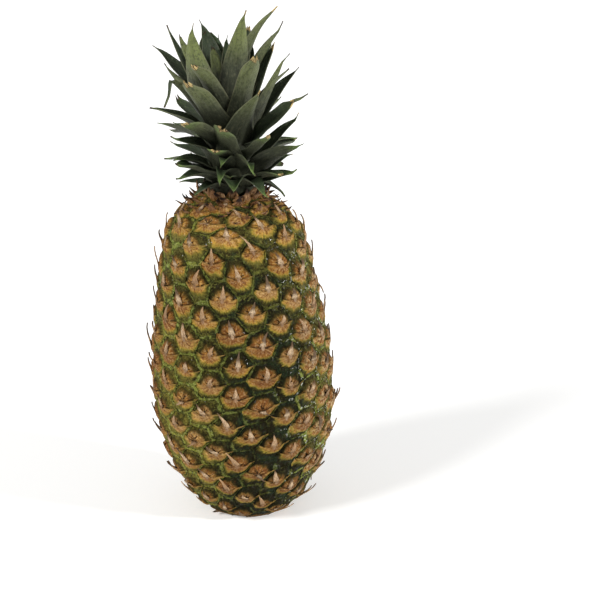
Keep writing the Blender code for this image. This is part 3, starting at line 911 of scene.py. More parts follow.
@dataclass
class Rind:
    """The skin of the fruit, raised in one dome and groove for every eye."""

    skin: Skin
    rows: EyeRows
    finish: RindFinish = RindFinish()
    side_steps: int = 6
    shares: Tuple[float, ...] = (0.15, 0.30, 0.44, 0.56, 0.67, 0.77, 0.85, 0.925)
    upper: Points = (
        (0, 0.4), (0.2, 0.7), (0.4, 0.7), (0.55, 0.3), (0.66, -0.3), (0.76, -1.0),
        (0.85, -1.5), (0.93, -1.3), (1.0, -0.7),
    )
    lower: Points = (
        (0, 0.5), (0.3, 0.4), (0.5, 0.0), (0.7, -0.6), (0.82, -1.1), (0.9, -1.3),
        (0.96, -1.1), (1.0, -0.7),
    )
    bulge: Range = (-0.15, 0.15)
    bulge_height: float = 2 * MM
    wobble: float = 0.4 * MM
    bumps: Points = ((210, 1.0), (520, 0.8))
    rest_radius: float = 22 * MM
    recess_radius: float = 14.3 * MM
    recess_height: float = 5.8 * MM
    flat_below: float = 0.6 * MM
    ring_inset: float = 0.5 * MM

    def relief(self, x: Array, y: Array) -> Array:
        """Height of a full-grown eye over the smooth skin, in metres.

        Args:
            x: Across, 1 at the cell's border.
            y: Up the fruit, 1 at the cell's border.

        Returns:
            The height at each place.
        """
        share = np.hypot(x, y)
        high = np.interp(share, *zip(*self.upper))
        low = np.interp(share, *zip(*self.lower))
        return (low + (high - low) * smooth_step(-0.3, 0.3, y)) * MM

    def eye_grid(self, eye: Eye) -> Tuple[List, Array, Array]:
        """Border keys and in-eye places of the rings of one eye.

        Args:
            eye: The eye.

        Returns:
            Keys of the border's vertices, and the rings' x and y, border last.
        """
        keys, flat = [], []
        count = len(eye.corners)
        for i in range(count):
            key, azimuth, stretch = eye.corners[i]
            other, far_azimuth, far_stretch = eye.corners[(i + 1) % count]
            for step in range(self.side_steps):
                t = step / self.side_steps
                if step == 0:
                    keys.append((key, key, 0))
                elif key < other:
                    keys.append((key, other, step))
                else:
                    keys.append((other, key, self.side_steps - step))
                flat.append((azimuth + (far_azimuth - azimuth) * t,
                             stretch + (far_stretch - stretch) * t))
        flat = np.array(flat) - (eye.azimuth, eye.stretch)
        angles = np.arctan2(flat[:, 1], flat[:, 0])
        shares = np.array(self.shares + (1.0,))
        return keys, shares[:, None] * np.cos(angles), shares[:, None] * np.sin(angles)

    def add_eye(self, mesh: bmesh.types.BMesh, layers: List, border: Dict, eye: Eye) -> None:
        """Add one eye: rings of faces round its middle.

        Args:
            mesh: The rind's mesh.
            layers: Its UV layers for the place in the eye and the eye's number.
            border: The vertices that neighbours share, by key; filled here.
            eye: The eye.
        """
        keys, xs, ys = self.eye_grid(eye)
        x, y = xs.ravel(), ys.ravel()
        azimuth, stretch = eye.flat_places(x, y)
        bulge = eye.rng.uniform(*self.bulge) * self.bulge_height
        lift = self.relief(x, y) * self.skin.grown(stretch)
        lift += bulge * smooth_step(0.8, 0.3, np.hypot(x, y))
        spots = self.skin.points(azimuth, stretch, lift).reshape(*xs.shape, 3)
        rings = [[mesh.verts.new(spot) for spot in ring] for ring in spots[:-1]]
        for key, spot in zip(keys, spots[-1]):
            if key not in border:
                border[key] = mesh.verts.new(spot)
        rings.append([border[key] for key in keys])
        rings = [list(zip(*ring)) for ring in zip(rings, xs, ys)]
        middle = self.skin.points(
            np.array([eye.azimuth]), np.array([eye.stretch]),
            self.relief(np.zeros(1), np.zeros(1)) * eye.grown)[0]
        heart = (mesh.verts.new(middle), 0.0, 0.0)
        faces = [(heart, *pair) for pair in zip(rings[0], rings[0][1:] + rings[0][:1])]
        for inner, outer in zip(rings, rings[1:]):
            faces += zip(inner, outer, outer[1:] + outer[:1], inner[1:] + inner[:1])
        place_layer, number_layer = layers
        for corners in faces:
            face = mesh.faces.new([vertex for vertex, _, _ in corners])
            for loop, (_, across, up) in zip(face.loops, corners):
                loop[place_layer].uv = (across, up)
                loop[number_layer].uv = (eye.tag, 0.0)

    def build(self) -> Piece:
        """Make the rind and dress it."""
        mesh = bmesh.new()
        layers = [mesh.loops.layers.uv.new(name) for name in ("eye", "seed")]
        border: Dict[Tuple[int, int, int], bmesh.types.BMVert] = {}
        for eye in self.rows.eyes:
            self.add_eye(mesh, layers, border, eye)
        self.roughen(mesh)
        self.close_ends(mesh)
        bmesh.ops.recalc_face_normals(mesh, faces=mesh.faces[:])
        data = bpy.data.meshes.new("rind")
        mesh.to_mesh(data)
        mesh.free()
        data.shade_smooth()
        rind = link_new("rind", data)
        data.materials.append(self.finish.material())
        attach(rind, "root")
        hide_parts("fruit")
        return rind

    def roughen(self, mesh: bmesh.types.BMesh) -> None:
        """Move the skin in and out a little, so that no two eyes are alike."""
        mesh.normal_update()
        for vertex in mesh.verts:
            inside = min(1.0, vertex.co.z / self.skin.relief_fade)
            swing = sum(share * noise.noise(vertex.co * scale) for scale, share in self.bumps)
            vertex.co += vertex.normal * (swing * self.wobble * inside)

    def close_ends(self, mesh: bmesh.types.BMesh) -> None:
        """Close the top, and the base with its flat ring and the hollow for the stalk."""
        rims = bmesh.ops.holes_fill(mesh, edges=[e for e in mesh.edges if e.is_boundary], sides=0)
        low, top = sorted(rims["faces"], key=lambda face: face.calc_center_median().z)
        bmesh.ops.poke(mesh, faces=[top])
        for vertex in low.verts:
            if vertex.co.z < self.flat_below:
                vertex.co.z = 0.0
        for radius, height in ((self.rest_radius, 0.0), (self.recess_radius, 0.0),
                               (self.recess_radius, self.recess_height)):
            bmesh.ops.inset_region(mesh, faces=[low], thickness=self.ring_inset, depth=0.0)
            for vertex in low.verts:
                angle = math.atan2(vertex.co.y, vertex.co.x)
                vertex.co = (radius * math.cos(angle), radius * math.sin(angle), height)
        bmesh.ops.poke(mesh, faces=[low])


# --- bracts -----------------------------------------------------------


@dataclass(frozen=True)
class BractFinish:
    """The eye's own skirt with a lighter rim, and a papery pinkish-tan point."""

    eye: EyeFinish = EyeFinish()
    rim: Colour = (0.430, 0.260, 0.075)
    heart: Colour = (0.260, 0.120, 0.055)
    paper: Colour = (0.420, 0.250, 0.130)
    pale: Colour = (0.880, 0.670, 0.440)
    # Dark brown of the dry tips, also painted shade at the outline.
    dry_tip_and_shade: Colour = (0.060, 0.028, 0.013)

    def material(self) -> bpy.types.Material:
        """Build the bracts' material."""
        board = Board("pineapple_bract")
        x, y = board.uv("flap")
        seed, rise, fall = (board.attribute(name) for name in ("tag", "rise", "fall"))
        skirt, height, _ = self.eye.paint(board, x, y, seed)
        patch = board.noise(260, 2, 0.5)
        rim = fall.step(0.70, 0.98) * abs(x).step(0.25, 0.6) * rise.step(0.05, 0.0)
        skirt = board.mix(rim * (patch.step(0.3, 0.6) * 0.8), skirt, self.rim)
        grain = board.grain(4, 0.7, x * 75, y * 6, seed * 77)
        # Painted shade: points at the left and right outline darkened.
        outer = abs(board.place[0] + 0.004).step(0.040, 0.054) * 0.32
        dry_tip_and_outline_shade = (rise + (seed - 0.5) * 1.1 + (grain - 0.5) * 0.5 + outer).step(0.60, 0.95)
        paper = board.layers(
            self.paper,
            ((grain + (seed - 0.5) * 0.22).step(0.42, 0.64), self.pale),
            (grain.step(0.42, 0.34) * 0.7, self.heart),
            (rise.step(0.25, 0.0) * 0.5, self.heart),
            # Dry brown tips, with painted shade at the outline.
            (dry_tip_and_outline_shade * 0.85, self.dry_tip_and_shade),
        )
        foot = (x * x * 2.2 + (y + 0.03) * (y + 0.03)) ** 0.5
        tongue = rise.math("MAXIMUM", foot.step(0.24, 0.03) * 0.3)
        colour = board.mix((tongue + (grain - 0.5) * 0.35).step(0.02, 0.24), skirt, paper)
        return board.finish(colour, 0.62 + grain * 0.2, height + grain * 0.5, 0.0018, 0.08)


@dataclass
class Bracts:
    """One papery scale for every eye: a winged skirt with a thin point that rises from it."""

    skin: Skin
    rows: EyeRows
    rind: Rind
    finish: BractFinish = BractFinish()
    columns: int = 8
    rows_down: int = 3
    low_reach: float = 0.84
    wing_rise: float = 0.17
    point_half: float = 0.30
    narrowing: Tuple[float, ...] = (0.66, 0.62, 0.56, 0.48)
    point_top: float = 1.0
    thick: float = 0.08
    wing: Points = (
        (0, 1.1), (0.25, 0.95), (0.5, 0.6), (0.75, -0.1), (0.9, -0.5), (1.0, -0.6),
    )
    wall: float = 9 * MM
    sink: float = 0.35 * MM
    spread: Range = (0.94, 1.02)
    crests: Range = (0.85, 1.2)
    end_fade: float = 0.35
    end_length: float = 0.55
    point_length: Range = (6.5 * MM, 11.5 * MM)
    point_reach: Range = (0.2 * MM, 4.6 * MM)
    slant: float = 0.26
    hook: float = 0.15
    snapped_share: float = 0.10
    snapped_length: float = -0.35
    snapped_slant: Range = (3 * MM, 6 * MM)
    snapped_reach: float = 1.6 * MM

    def lower_edge(self, x: Array) -> Array:
        """Lower outline of the skirt."""
        return -self.low_reach * np.clip(1 - np.abs(x) ** 1.4, 0, 1) ** 0.9 + 0.10 * x * x

    def upper_edge(self, x: Array) -> Array:
        """Upper outline of the skirt, from wing to wing."""
        return -0.06 + self.wing_rise * np.abs(x) ** 1.5

    def template(self) -> Piece:
        """Model one scale, flat, in the eye's own units.

        Returns:
            The modelled scale.
        """
        deselect_all()
        bpy.ops.mesh.primitive_grid_add(
            x_subdivisions=self.columns, y_subdivisions=self.rows_down, size=2.0)
        scale = bpy.context.object
        bpy.ops.object.mode_set(mode="EDIT")
        places = np.linspace(-1, 1, self.columns + 1)
        for x, low, high in zip(places, self.lower_edge(places), self.upper_edge(places)):
            high = max(high, low + 0.02)
            select_where(scale, lambda place: abs(place.x - x) < 0.01)
            bpy.ops.transform.resize(value=(1, (high - low) / 2, 1), center_override=(x, 0, 0))
            bpy.ops.transform.translate(value=(0, (high + low) / 2, 0))
        top, half = self.upper_edge(np.zeros(1))[0], self.point_half
        select_where(scale, lambda place: abs(place.x) < half and place.y > top - 0.01)
        rise = (self.point_top - top) / len(self.narrowing)
        for narrow in self.narrowing:
            bpy.ops.mesh.extrude_region_move(TRANSFORM_OT_translate={"value": (0, rise, 0)})
            bpy.ops.transform.resize(value=(narrow, 1, 1), center_override=(0, top, 0))
        bpy.ops.transform.resize(value=(0.4, 1, 1), center_override=(0, top, 0))
        bpy.ops.object.mode_set(mode="OBJECT")
        add_wall(scale, self.thick)
        return scale

    def kept_on_skin(self, eye: Eye, stretch: Array) -> Array:
        """Press a scale together where it would reach past an end of the skin.

        Args:
            eye: The scale's eye.
            stretch: Places of the scale's vertices along the skin.

        Returns:
            The places inside the skin's ends.
        """
        away = stretch - eye.stretch
        down, up = eye.stretch - self.skin.stretch[0], self.skin.stretch[-1] - eye.stretch
        down_share = min(1.0, 0.97 * down / max(-float(away.min()), 1e-9))
        up_share = min(1.0, 0.97 * up / max(float(away.max()), 1e-9))
        return eye.stretch + np.where(away < 0, away * down_share, away * up_share)

    def build(self) -> Piece:
        """Copy the scale to every eye and dress the whole."""
        template = self.template()
        shape = mesh_places(template.data)
        x, y, w = shape.T
        top = self.upper_edge(x)
        low = self.lower_edge(x)
        fall = np.clip((y - low) / np.maximum(top - low, 0.02), 0, 1)
        rise = np.where(np.abs(x) < self.point_half + 0.02,
                        np.clip((y - top) / (self.point_top - top), 0, 1), 0.0)
        base_y = np.minimum(y, top)
        share = np.hypot(x, base_y)
        floor = self.rind.relief(x, base_y) - self.sink
        crest = np.interp(share, *zip(*self.wing)) * MM
        blend = smooth_step(0.0, 0.75, fall)
        write_uv(template, "flap", shape)
        copies = []
        for eye in self.rows.eyes:
            rng = eye.rng
            azimuth, stretch = eye.flat_places(x * rng.uniform(*self.spread), base_y)
            lift = floor + (crest * rng.uniform(*self.crests) - floor) * blend + w * self.wall
            end = min(eye.stretch, self.skin.stretch[-1] - eye.stretch)
            kept = self.end_length + (1 - self.end_length) * min(1.0, end / self.end_fade)
            length = rng.uniform(*self.point_length) * eye.grown * kept
            least, most = self.point_reach
            reach = (least + (most - least) * rng.random() ** 1.5) * eye.grown
            slant, hook = rng.gauss(0, self.slant) * length, rng.gauss(0, self.hook) * length
            if rng.random() < self.snapped_share:
                length *= self.snapped_length
                slant = rng.choice((-1, 1)) * rng.uniform(*self.snapped_slant)
                reach = self.snapped_reach
            azimuth = azimuth + (slant * rise ** 1.4 + hook * rise ** 3) / eye.radius
            stretch = self.kept_on_skin(eye, stretch + length * rise / eye.radius)
            lift = lift * eye.grown + reach * np.sin(0.5 * math.pi * rise) ** 1.2
            places = self.skin.points(azimuth, stretch, lift)
            copies.append(place_copy(template, places, tag=eye.tag, rise=rise, fall=fall))
        bracts = join_copies(template, copies, "bracts")
        bracts.data.materials.append(self.finish.material())
        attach(bracts, "root")
        return bracts


# --- crown ------------------------------------------------------------


class Tip(Enum):
    """How a leaf ends."""

    SHARP = "sharp"
    BLUNT = "blunt"
    FOLDED = "folded"


@dataclass(frozen=True)
class LeafPlan:
    """One leaf: angles in degrees, sizes in millimetres, tone and dryness in shares."""

    turn: float
    height: float
    length: float
    root_rise: float
    tip_rise: float
    width: float
    tip: Tip
    roll: float
    tone: float = 0.3
    dry: float = 0.05


SHARP, BLUNT, FOLDED = Tip.SHARP, Tip.BLUNT, Tip.FOLDED
SHOWN_LEAVES = tuple(LeafPlan(*row) for row in (
    (26, 45, 65, 87, 64, 20, SHARP, -4, 0.85, 0.06),
    (66, 45, 72, 100, 38, 13, SHARP, -20, 0.60, 0.08),
    (229, 42, 60, 83, 66, 20, SHARP, -28, 0.25, 0.02),
    (-43, 39, 67, 50, 91, 22, SHARP, 33, 0.95, 0.05),
    (201, 47, 47, 76, 59, 16, SHARP, -18, 0.10, 0.03),
    (-44, 46, 42, 84, 74, 9, BLUNT, 14, 0.80, 0.03),
    (-103, 37, 67, 62, 64, 12, SHARP, -23, 0.20, 0.03),
    (-80, 39, 58, 66, 70, 9, BLUNT, 41, 0.80, 0.02),
    (140, 42, 56, 80, 78, 12, BLUNT, 0, 0.20, 0.06),
    (81, 40, 66, 86, 48, 12, SHARP, -34, 0.50, 0.04),
    (87, 32, 59, 78, 65, 8, BLUNT, 37, 0.20, 0.07),
    (26, 31, 62, 75, 44, 15, BLUNT, 5, 0.45, 0.06),
    (75, 26, 63, 70, 61, 8, SHARP, -49, 0.60, 0.03),
    (104, 30, 54, 60, 44, 15, SHARP, 35, 0.15, 0.03),
    (27, 21, 55, 71, 38, 24, SHARP, 17, 0.45, 0.08),
    (57, 25, 50, 50, 32, 11, BLUNT, 68, 0.15, 0.07),
    (94, 15, 44, 48, 40, 12, SHARP, 34, 0.15, 0.05),
    (27, 18, 51, 30, 27, 11, BLUNT, -1, 0.40, 0.06),
    (60, 7, 48, 57, 8, 12, SHARP, -70, 0.60, 0.02),
    (125, 15, 40, 31, 0, 14, BLUNT, 0, 0.20, 0.06),
    (110, 4, 33, 40, 23, 13, SHARP, 20, 0.30, 0.05),
    (61, 4, 37, 30, 9, 13, SHARP, 35, 0.70, 0.02),
    (45, 4, 38, 42, -4, 13, BLUNT, 0, 0.30, 0.06),
    (98, 4, 25, 20, -56, 12, SHARP, 0, 0.40, 0.03),
    (29, 4, 38, 48, -45, 19, SHARP, 0, 0.60, 0.02),
    (17, 9, 49, 64, -34, 19, SHARP, -35, 0.75, 0.02),
    (5, 4, 33, 55, -40, 24, SHARP, -3, 0.70, 0.02),
    (-6, 6, 43, 63, -38, 16, SHARP, -8, 0.70, 0.02),
    (-45, 6, 35, 45, -19, 13, SHARP, -10, 0.60, 0.03),
    (-104, 4, 23, 14, -10, 5, SHARP, -36, 0.40, 0.06),
    (-44, 8, 42, 56, -3, 14, SHARP, -26, 0.50, 0.03),
    (-37, 8, 43, 36, 8, 12, BLUNT, -15, 0.50, 0.02),
    (-131, 17, 42, 12, 5, 13, SHARP, -10, 0.30, 0.05),
    (-37, 23, 45, 30, 13, 13, SHARP, -32, 0.40, 0.03),
    (-138, 29, 52, 10, -12, 11, BLUNT, 0, 0.30, 0.05),
    (-126, 28, 50, 12, 7, 8, SHARP, 56, 0.50, 0.03),
    (-28, 26, 49, 36, 18, 18, BLUNT, 6, 0.50, 0.06),
    (-57, 29, 52, 46, 16, 15, SHARP, -19, 0.40, 0.03),
    (-139, 28, 52, 27, 23, 10, BLUNT, -9, 0.20, 0.04),
    (-49, 32, 51, 58, 40, 10, FOLDED, 17, 0.50, 0.02),
    (-32, 32, 52, 51, 42, 24, BLUNT, -6, 0.45, 0.06),
    (-20, 42, 60, 58, 23, 13, BLUNT, 4, 0.50, 0.08),
    (-96, 31, 54, 63, 47, 13, SHARP, 55, 0.40, 0.03),
    (-108, 47, 56, 46, 39, 14, SHARP, -35, 0.10, 0.03),
    (-4, 10, 55, 60, 24, 19, BLUNT, -30, 0.40, 0.05),
    (-10, 7, 44, 61, 13, 16, BLUNT, 0, 0.45, 0.06),
    (-4, 9, 45, 71, -26, 17, SHARP, 0, 0.50, 0.03),
    (-30, 4, 31, 34, -30, 11, SHARP, 0, 0.40, 0.04),
))
FLANK_LEAVES = tuple(LeafPlan(*row) for row in (
    (-84, 5, 24, 68, 36, 18, SHARP, 8, 0.30, 0.03),
    (-68, 12, 27, 72, 44, 16, SHARP, -10, 0.30, 0.03),
    (-99, 14, 27, 72, 46, 16, SHARP, 12, 0.35, 0.03),
    (-82, 20, 30, 74, 50, 17, SHARP, -6, 0.35, 0.03),
    (-92, 28, 30, 78, 58, 14, BLUNT, 5, 0.35, 0.03),
))
COLLAR_LEAF = LeafPlan(0, 3, 17, 64, 20, 19, SHARP, 0, 0.3, 0.04)


@dataclass(frozen=True)
class LeafFinish:
    """Dark green above, grey waxy bloom below, lighter towards the tip, dry brown at the end."""

    upper: Colour = (0.028, 0.042, 0.020)
    upper_tip: Colour = (0.038, 0.076, 0.018)
    root: Colour = (0.034, 0.038, 0.023)
    lower: Colour = (0.033, 0.038, 0.023)
    bloom: Colour = (0.133, 0.145, 0.086)
    fresh: Colour = (0.200, 0.240, 0.063)
    young: Colour = (0.170, 0.270, 0.055)
    edge: Colour = (0.170, 0.165, 0.090)
    straw: Colour = (0.62, 0.46, 0.19)
    brown: Colour = (0.060, 0.034, 0.017)

    def material(self) -> bpy.types.Material:
        """Build the leaves' material."""
        board = Board("crown_leaf")
        u, t = board.uv("blade")
        seed, tone, dry, inner = (
            board.attribute(name) for name in ("tag", "tone", "dry", "inner"))
        shade = board.place[2].step(0.270, 0.236)
        veins = board.grain(3, 0.6, u * 26, t * 2.2, seed * 83)
        patch = board.grain(3, 0.55, u * 2.2, t * 5.0, seed * 41)
        streak = board.grain(3, 0.65, u * 15, t * 1.3, seed * 29)
        mote = board.grain(3, 0.65, u * 9, t * 20, seed * 53)
        wither = board.grain(2, 0.5, u * 5, t * 9, seed * 19)
        fine = board.noise(1500, 2, 0.6)
        blotch = board.noise(520, 3, 0.65)
        outside = board.layers(
            self.lower,
            (patch.step(0.30, 0.72) * 0.7 + (veins - 0.5) + (streak - 0.5) * 1.1
             + (mote - 0.5) * 0.7 + t.step(0.1, 0.9) * 0.3, self.bloom),
            (t.step(0.40, 0.85) * tone,
             board.mix(streak.step(0.52, 0.74), self.fresh, self.bloom)),
            (t.step(0.70, 0.15) * 0.9, self.root),
            (shade * 0.85, self.root),
        )
        inside = board.mix(t.step(0.35, 1.0) * tone + (veins - 0.5) * 0.5 + (mote - 0.5) * 0.5,
                           self.upper, self.upper_tip)
        end = t + (patch - 0.5) * 0.10 + (veins - 0.5) * 0.05 - 1.0 + dry * 0.8
        dead = board.mix(wither.step(0.50, 0.60) + dry.step(0.07, 0.03)
                         + end.step(0.012, 0.0) * 0.7, self.straw, self.brown)
        colour = board.layers(
            outside,
            (inner, inside),
            (shade * (t + (veins - 0.5) * 0.2).step(0.74, 0.96) * tone * 1.3, self.young),
            (blotch.step(0.50, 0.36) * 0.55, self.root),
            (blotch.step(0.52, 0.66) * (0.46 - inner * 0.24) * (1 - shade * 0.6), self.bloom),
            (mote.step(0.50, 0.36) * streak.step(0.60, 0.40) * 0.65, self.root),
            (mote.step(0.52, 0.68) * streak.step(0.40, 0.60) * 0.42, self.edge),
            (abs(u).step(0.92, 1.0) * (0.50 - shade * 0.40), self.edge),
            (end.step(-0.015, 0.015), dead),
        )
        rough = 0.44 + fine * 0.15 + end.step(-0.02, 0.02) * 0.25
        height = veins * 0.9 + patch * 0.5 + fine * 0.15
        return board.finish(colour, rough, height, 0.0008, 0.3)


@dataclass
class Crown:
    """The leafy crown: a short stem hidden under channelled leaves."""

    skin: Skin
    finish: LeafFinish = LeafFinish()
    gap: float = 0.3 * MM
    core: Points = (
        (0, 13.5), (3, 16.5), (12, 16), (35, 13), (60, 8), (78, 2.5),
    )
    core_share: float = 0.8
    root_depth: float = 0.6
    thick: float = 1.3 * MM
    channel: float = 0.22
    roll_done: float = 0.45
    taper: float = 2.6
    droop_taper: float = 1.7
    shoulder_clear: float = 2.0 * MM
    fold_length: float = 16 * MM
    fold_rise: float = -78.0
    torn: Range = (0.03, 0.06)
    curl: float = 0.35
    waves: Range = (0.1 * MM, 0.5 * MM)
    twist: float = 7
    sharp_bend: float = 2.2
    sharp_lift: Range = (-0.5, 2.0)
    dull_bend: float = 1.0
    dull_lift: Range = (0.5, 2.5)
    clear_below: float = 32
    back_leaves: int = 23
    back_sector: Range = (112, 248)
    back_heights: Range = (4, 50)
    back_lengths: Range = (33, 18)
    back_span: float = 62
    back_roots: Range = (36, 0.9)
    back_tips: Range = (-42, 2.3)
    steepest_tip: float = 75
    golden_turn: float = 137.5
    back_seed: int = 11
    leaf_seed: int = 500
    collar_leaves: int = 9
    line_steps: int = 160
    columns: int = 8
    stations: int = 20

    def origin(self) -> Array:
        """Middle of the crown's lower end."""
        top = self.skin.height
        return np.array([-float(self.skin.drift(top)), 0.0, top + self.gap])

    def plans(self) -> List[LeafPlan]:
        """Every leaf: the shown ones, the back by golden angle, the collar and the flank."""
        rng = random.Random(self.back_seed)
        turns = (index * self.golden_turn % 360 for index in itertools.count())
        turns = (turn for turn in turns if self.back_sector[0] < turn < self.back_sector[1])
        (short, gain), (root, root_gain), (tip, tip_gain) = (
            self.back_lengths, self.back_roots, self.back_tips)
        rows: List[LeafPlan] = []
        for number, height in enumerate(np.linspace(*self.back_heights, self.back_leaves)):
            bulge = math.sin(math.pi * height / self.back_span)
            rows.append(LeafPlan(
                turn=next(turns), height=height,
                length=(short + gain * bulge) * rng.uniform(0.9, 1.1),
                root_rise=root + root_gain * height + rng.uniform(-6, 6),
                tip_rise=min(self.steepest_tip, tip + tip_gain * height + rng.uniform(-12, 12)),
                width=rng.uniform(12, 19), tip=rng.choice((SHARP, SHARP, BLUNT)),
                roll=rng.uniform(-25, 25), tone=0.3 + 0.2 * (number % 3), dry=0.03,
            ))
        collar = [replace(COLLAR_LEAF, turn=i * 360 / self.collar_leaves)
                  for i in range(self.collar_leaves)]
        return list(SHOWN_LEAVES) + rows + collar + list(FLANK_LEAVES)

    def line(self, plan: LeafPlan) -> Tuple[Array, Array, Array, float]:
        """Middle line of a leaf in its upright plane.

        Args:
            plan: The leaf.

        Returns:
            Distances out and up from the root, the rise in radians at each
            step, and the whole length.
        """
        length = plan.length * MM
        extra = self.fold_length if plan.tip is FOLDED else 0.0
        run = (np.arange(self.line_steps) + 0.5) / self.line_steps * (length + extra)
        share = np.clip(run / length, 0, 1)
        rise = np.radians(plan.root_rise + (plan.tip_rise - plan.root_rise) * share)
        if extra:
            rise = np.where(run > length, math.radians(self.fold_rise), rise)
        step = (length + extra) / self.line_steps
        out = np.concatenate([[0.0], np.cumsum(np.cos(rise)) * step])
        up = np.concatenate([[0.0], np.cumsum(np.sin(rise)) * step])
        return out, up, np.concatenate([rise[:1], rise]), length + extra

    def half_width(self, plan: LeafPlan, run: Array) -> Array:
        """Half of a leaf's width at a distance from its root."""
        t = np.clip(run / (plan.length * MM), 0, 1)
        half = 0.5 * plan.width * MM * (0.9 + 0.1 * np.sin(math.pi * np.minimum(1.0, 2 * t)))
        if plan.tip is SHARP:
            taper = self.droop_taper if plan.tip_rise < -20 else self.taper
            return half * np.maximum(1 - (1.04 * t) ** taper, 0.075 - 0.06 * t)
        if plan.tip is BLUNT:
            return half * (1 - 0.25 * t * t) * (1 - 0.80 * smooth_step(0.78, 1.0, t) ** 1.4)
        beyond = np.clip((run - plan.length * MM) / self.fold_length, 0, 1)
        return half * (1 - 0.4 * t ** 2.2) * np.maximum(1 - beyond, 0.05)

    def leaf_places(self, plan: LeafPlan, shape: Array, rng: random.Random) -> Array:
        """Bend the flat blade along a leaf's line.

        Args:
            plan: The leaf.
            shape: Places of the flat blade's vertices.
            rng: Source of this leaf's own small differences.

        Returns:
            Places of the leaf's vertices.
        """
        u, t, wall = shape[:, 0], shape[:, 1], shape[:, 2]
        if plan.tip is BLUNT:
            tear = rough_field(np.stack([u, 0 * u, 0 * u], axis=1), 2.3, plan.turn)
            t = t * (1 - (self.torn[0] + self.torn[1] * tear) * smooth_step(0.85, 1.0, t))
        out, up, rises, whole = self.line(plan)
        table = np.linspace(0, whole, len(out))
        run = t * whole
        rise = np.interp(run, table, rises)
        half = self.half_width(plan, run)
        outward, side = level_directions(math.radians(plan.turn - 90))
        depth = self.root_depth * np.interp(plan.height, *zip(*self.core)) * MM
        root = self.origin() + plan.height * MM * UP + outward * depth
        normal = np.outer(np.cos(rise), UP) - np.outer(np.sin(rise), outward)
        middle = root + outward * np.interp(run, table, out)[:, None]
        middle[:, 2] += np.interp(run, table, up)
        if plan.height < self.clear_below:
            floor, offset = self.skin.shoulder(middle[:, 0], middle[:, 1])
            lowest = floor + self.shoulder_clear * (1 + np.minimum(1.0, offset / (40 * MM)))
            middle[:, 2] = np.maximum(middle[:, 2], lowest)
        roll = (math.radians(plan.roll) * smooth_step(0.0, self.roll_done, t)
                + math.radians(rng.uniform(-self.twist, self.twist)) * t ** 1.5)
        across = side * np.cos(roll)[:, None] + normal * np.sin(roll)[:, None]
        above = normal * np.cos(roll)[:, None] - side * np.sin(roll)[:, None]
        curl = 1 + (self.curl * smooth_step(0.8, 1.0, t) if plan.tip is BLUNT else 0.0)
        cup = self.channel * 2 * half * np.abs(u) ** 1.7 * curl
        wave = rng.uniform(*self.waves) * u * u * np.sin(t * rng.uniform(9, 16) + rng.uniform(0, 6))
        wall_depth = wall * (self.thick * (1 - 0.45 * t) * (1 - 0.45 * np.abs(u)))
        end = smooth_step(0.88, 1.0, t) ** 1.5
        sharp = plan.tip is SHARP
        most_bend = self.sharp_bend if sharp else self.dull_bend
        bend = rng.uniform(-most_bend, most_bend)
        lift = rng.uniform(*(self.sharp_lift if sharp else self.dull_lift))
        return (middle + across * (half * u + bend * MM * end)[:, None]
                + above * (cup + wave + wall_depth + lift * MM * end)[:, None])

    def build(self) -> List[Piece]:
        """Make the leaves and the stem under them, and dress both."""
        blade = model_blade(self.columns, self.stations)
        shape = mesh_places(blade.data)
        write_uv(blade, "blade", shape)
        inner = (shape[:, 2] > -0.5).astype(float)
        material = self.finish.material()
        copies = []
        for number, plan in enumerate(self.plans()):
            rng = random.Random(self.leaf_seed + number)
            places = self.leaf_places(plan, shape, rng)
            copies.append(place_copy(blade, places, tag=rng.random(), tone=plan.tone,
                                     dry=plan.dry, inner=inner))
        leaves = join_copies(blade, copies, "leaves")
        leaves.data.materials.append(material)
        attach(leaves, "root")
        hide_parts("crown")
        return [leaves, self.build_core(material)]

    def build_core(self, material: bpy.types.Material) -> Piece:
        """Make the short stem that carries the leaves."""
        deselect_all()
        origin = self.origin()
        heights = [h * MM for h, _ in self.core]
        radii = [r * MM * self.core_share for _, r in self.core]
        bpy.ops.mesh.primitive_circle_add(
            vertices=24, radius=radii[0], fill_type="NGON", location=tuple(origin))
        stem = bpy.context.object
        stem.name = stem.data.name = "crown_stem"
        bpy.ops.object.mode_set(mode="EDIT")
        bpy.ops.mesh.select_all(action="SELECT")
        for i in range(1, len(heights)):
            bpy.ops.mesh.extrude_region_move(
                TRANSFORM_OT_translate={"value": (0, 0, heights[i] - heights[i - 1])})
            grow = radii[i] / radii[i - 1]
            bpy.ops.transform.resize(
                value=(grow, grow, 1), center_override=tuple(origin + heights[i] * UP))
        bpy.ops.mesh.select_all(action="SELECT")
        bpy.ops.mesh.normals_make_consistent(inside=False)
        bpy.ops.object.mode_set(mode="OBJECT")
        bpy.ops.object.transform_apply(location=True, rotation=True, scale=True)
        stem.data.shade_smooth()
        stem.data.materials.append(material)
        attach(stem, "root")
        return stem


# --- collar scales ----------------------------------------------------


@dataclass(frozen=True)
class ScaleFinish:
    """Dried bract: orange-brown foot, dark streaks and a burnt end."""

    foot: Colour = (0.400, 0.190, 0.036)
    body: Colour = (0.270, 0.128, 0.052)
    pale: Colour = (0.520, 0.340, 0.185)
    dark: Colour = (0.028, 0.016, 0.012)

    def material(self) -> bpy.types.Material:
        """Build the scales' material."""
        board = Board("dried_scale")
        u, t = board.uv("blade")
        seed = board.attribute("tag")
        veins = board.grain(4, 0.7, u * 7, t * 1.6, seed * 83)
        fine = board.noise(900, 3, 0.6)
        colour = board.layers(
            self.foot,
            (t.step(0.10, 0.45), self.body),
            (veins.step(0.49, 0.60) * seed.step(0.1, 0.5) * 0.85, self.pale),
            (fine.step(0.47, 0.38) * 0.6, self.dark),
            (veins.step(0.48, 0.36) * 0.8, self.dark),
            ((t + (veins - 0.5) * 0.5 + (seed - 0.5) * 0.5).step(0.60, 0.90), self.dark),
        )
        return board.finish(colour, 0.65 + fine * 0.2, veins + fine * 0.4, 0.0012, 0.15)


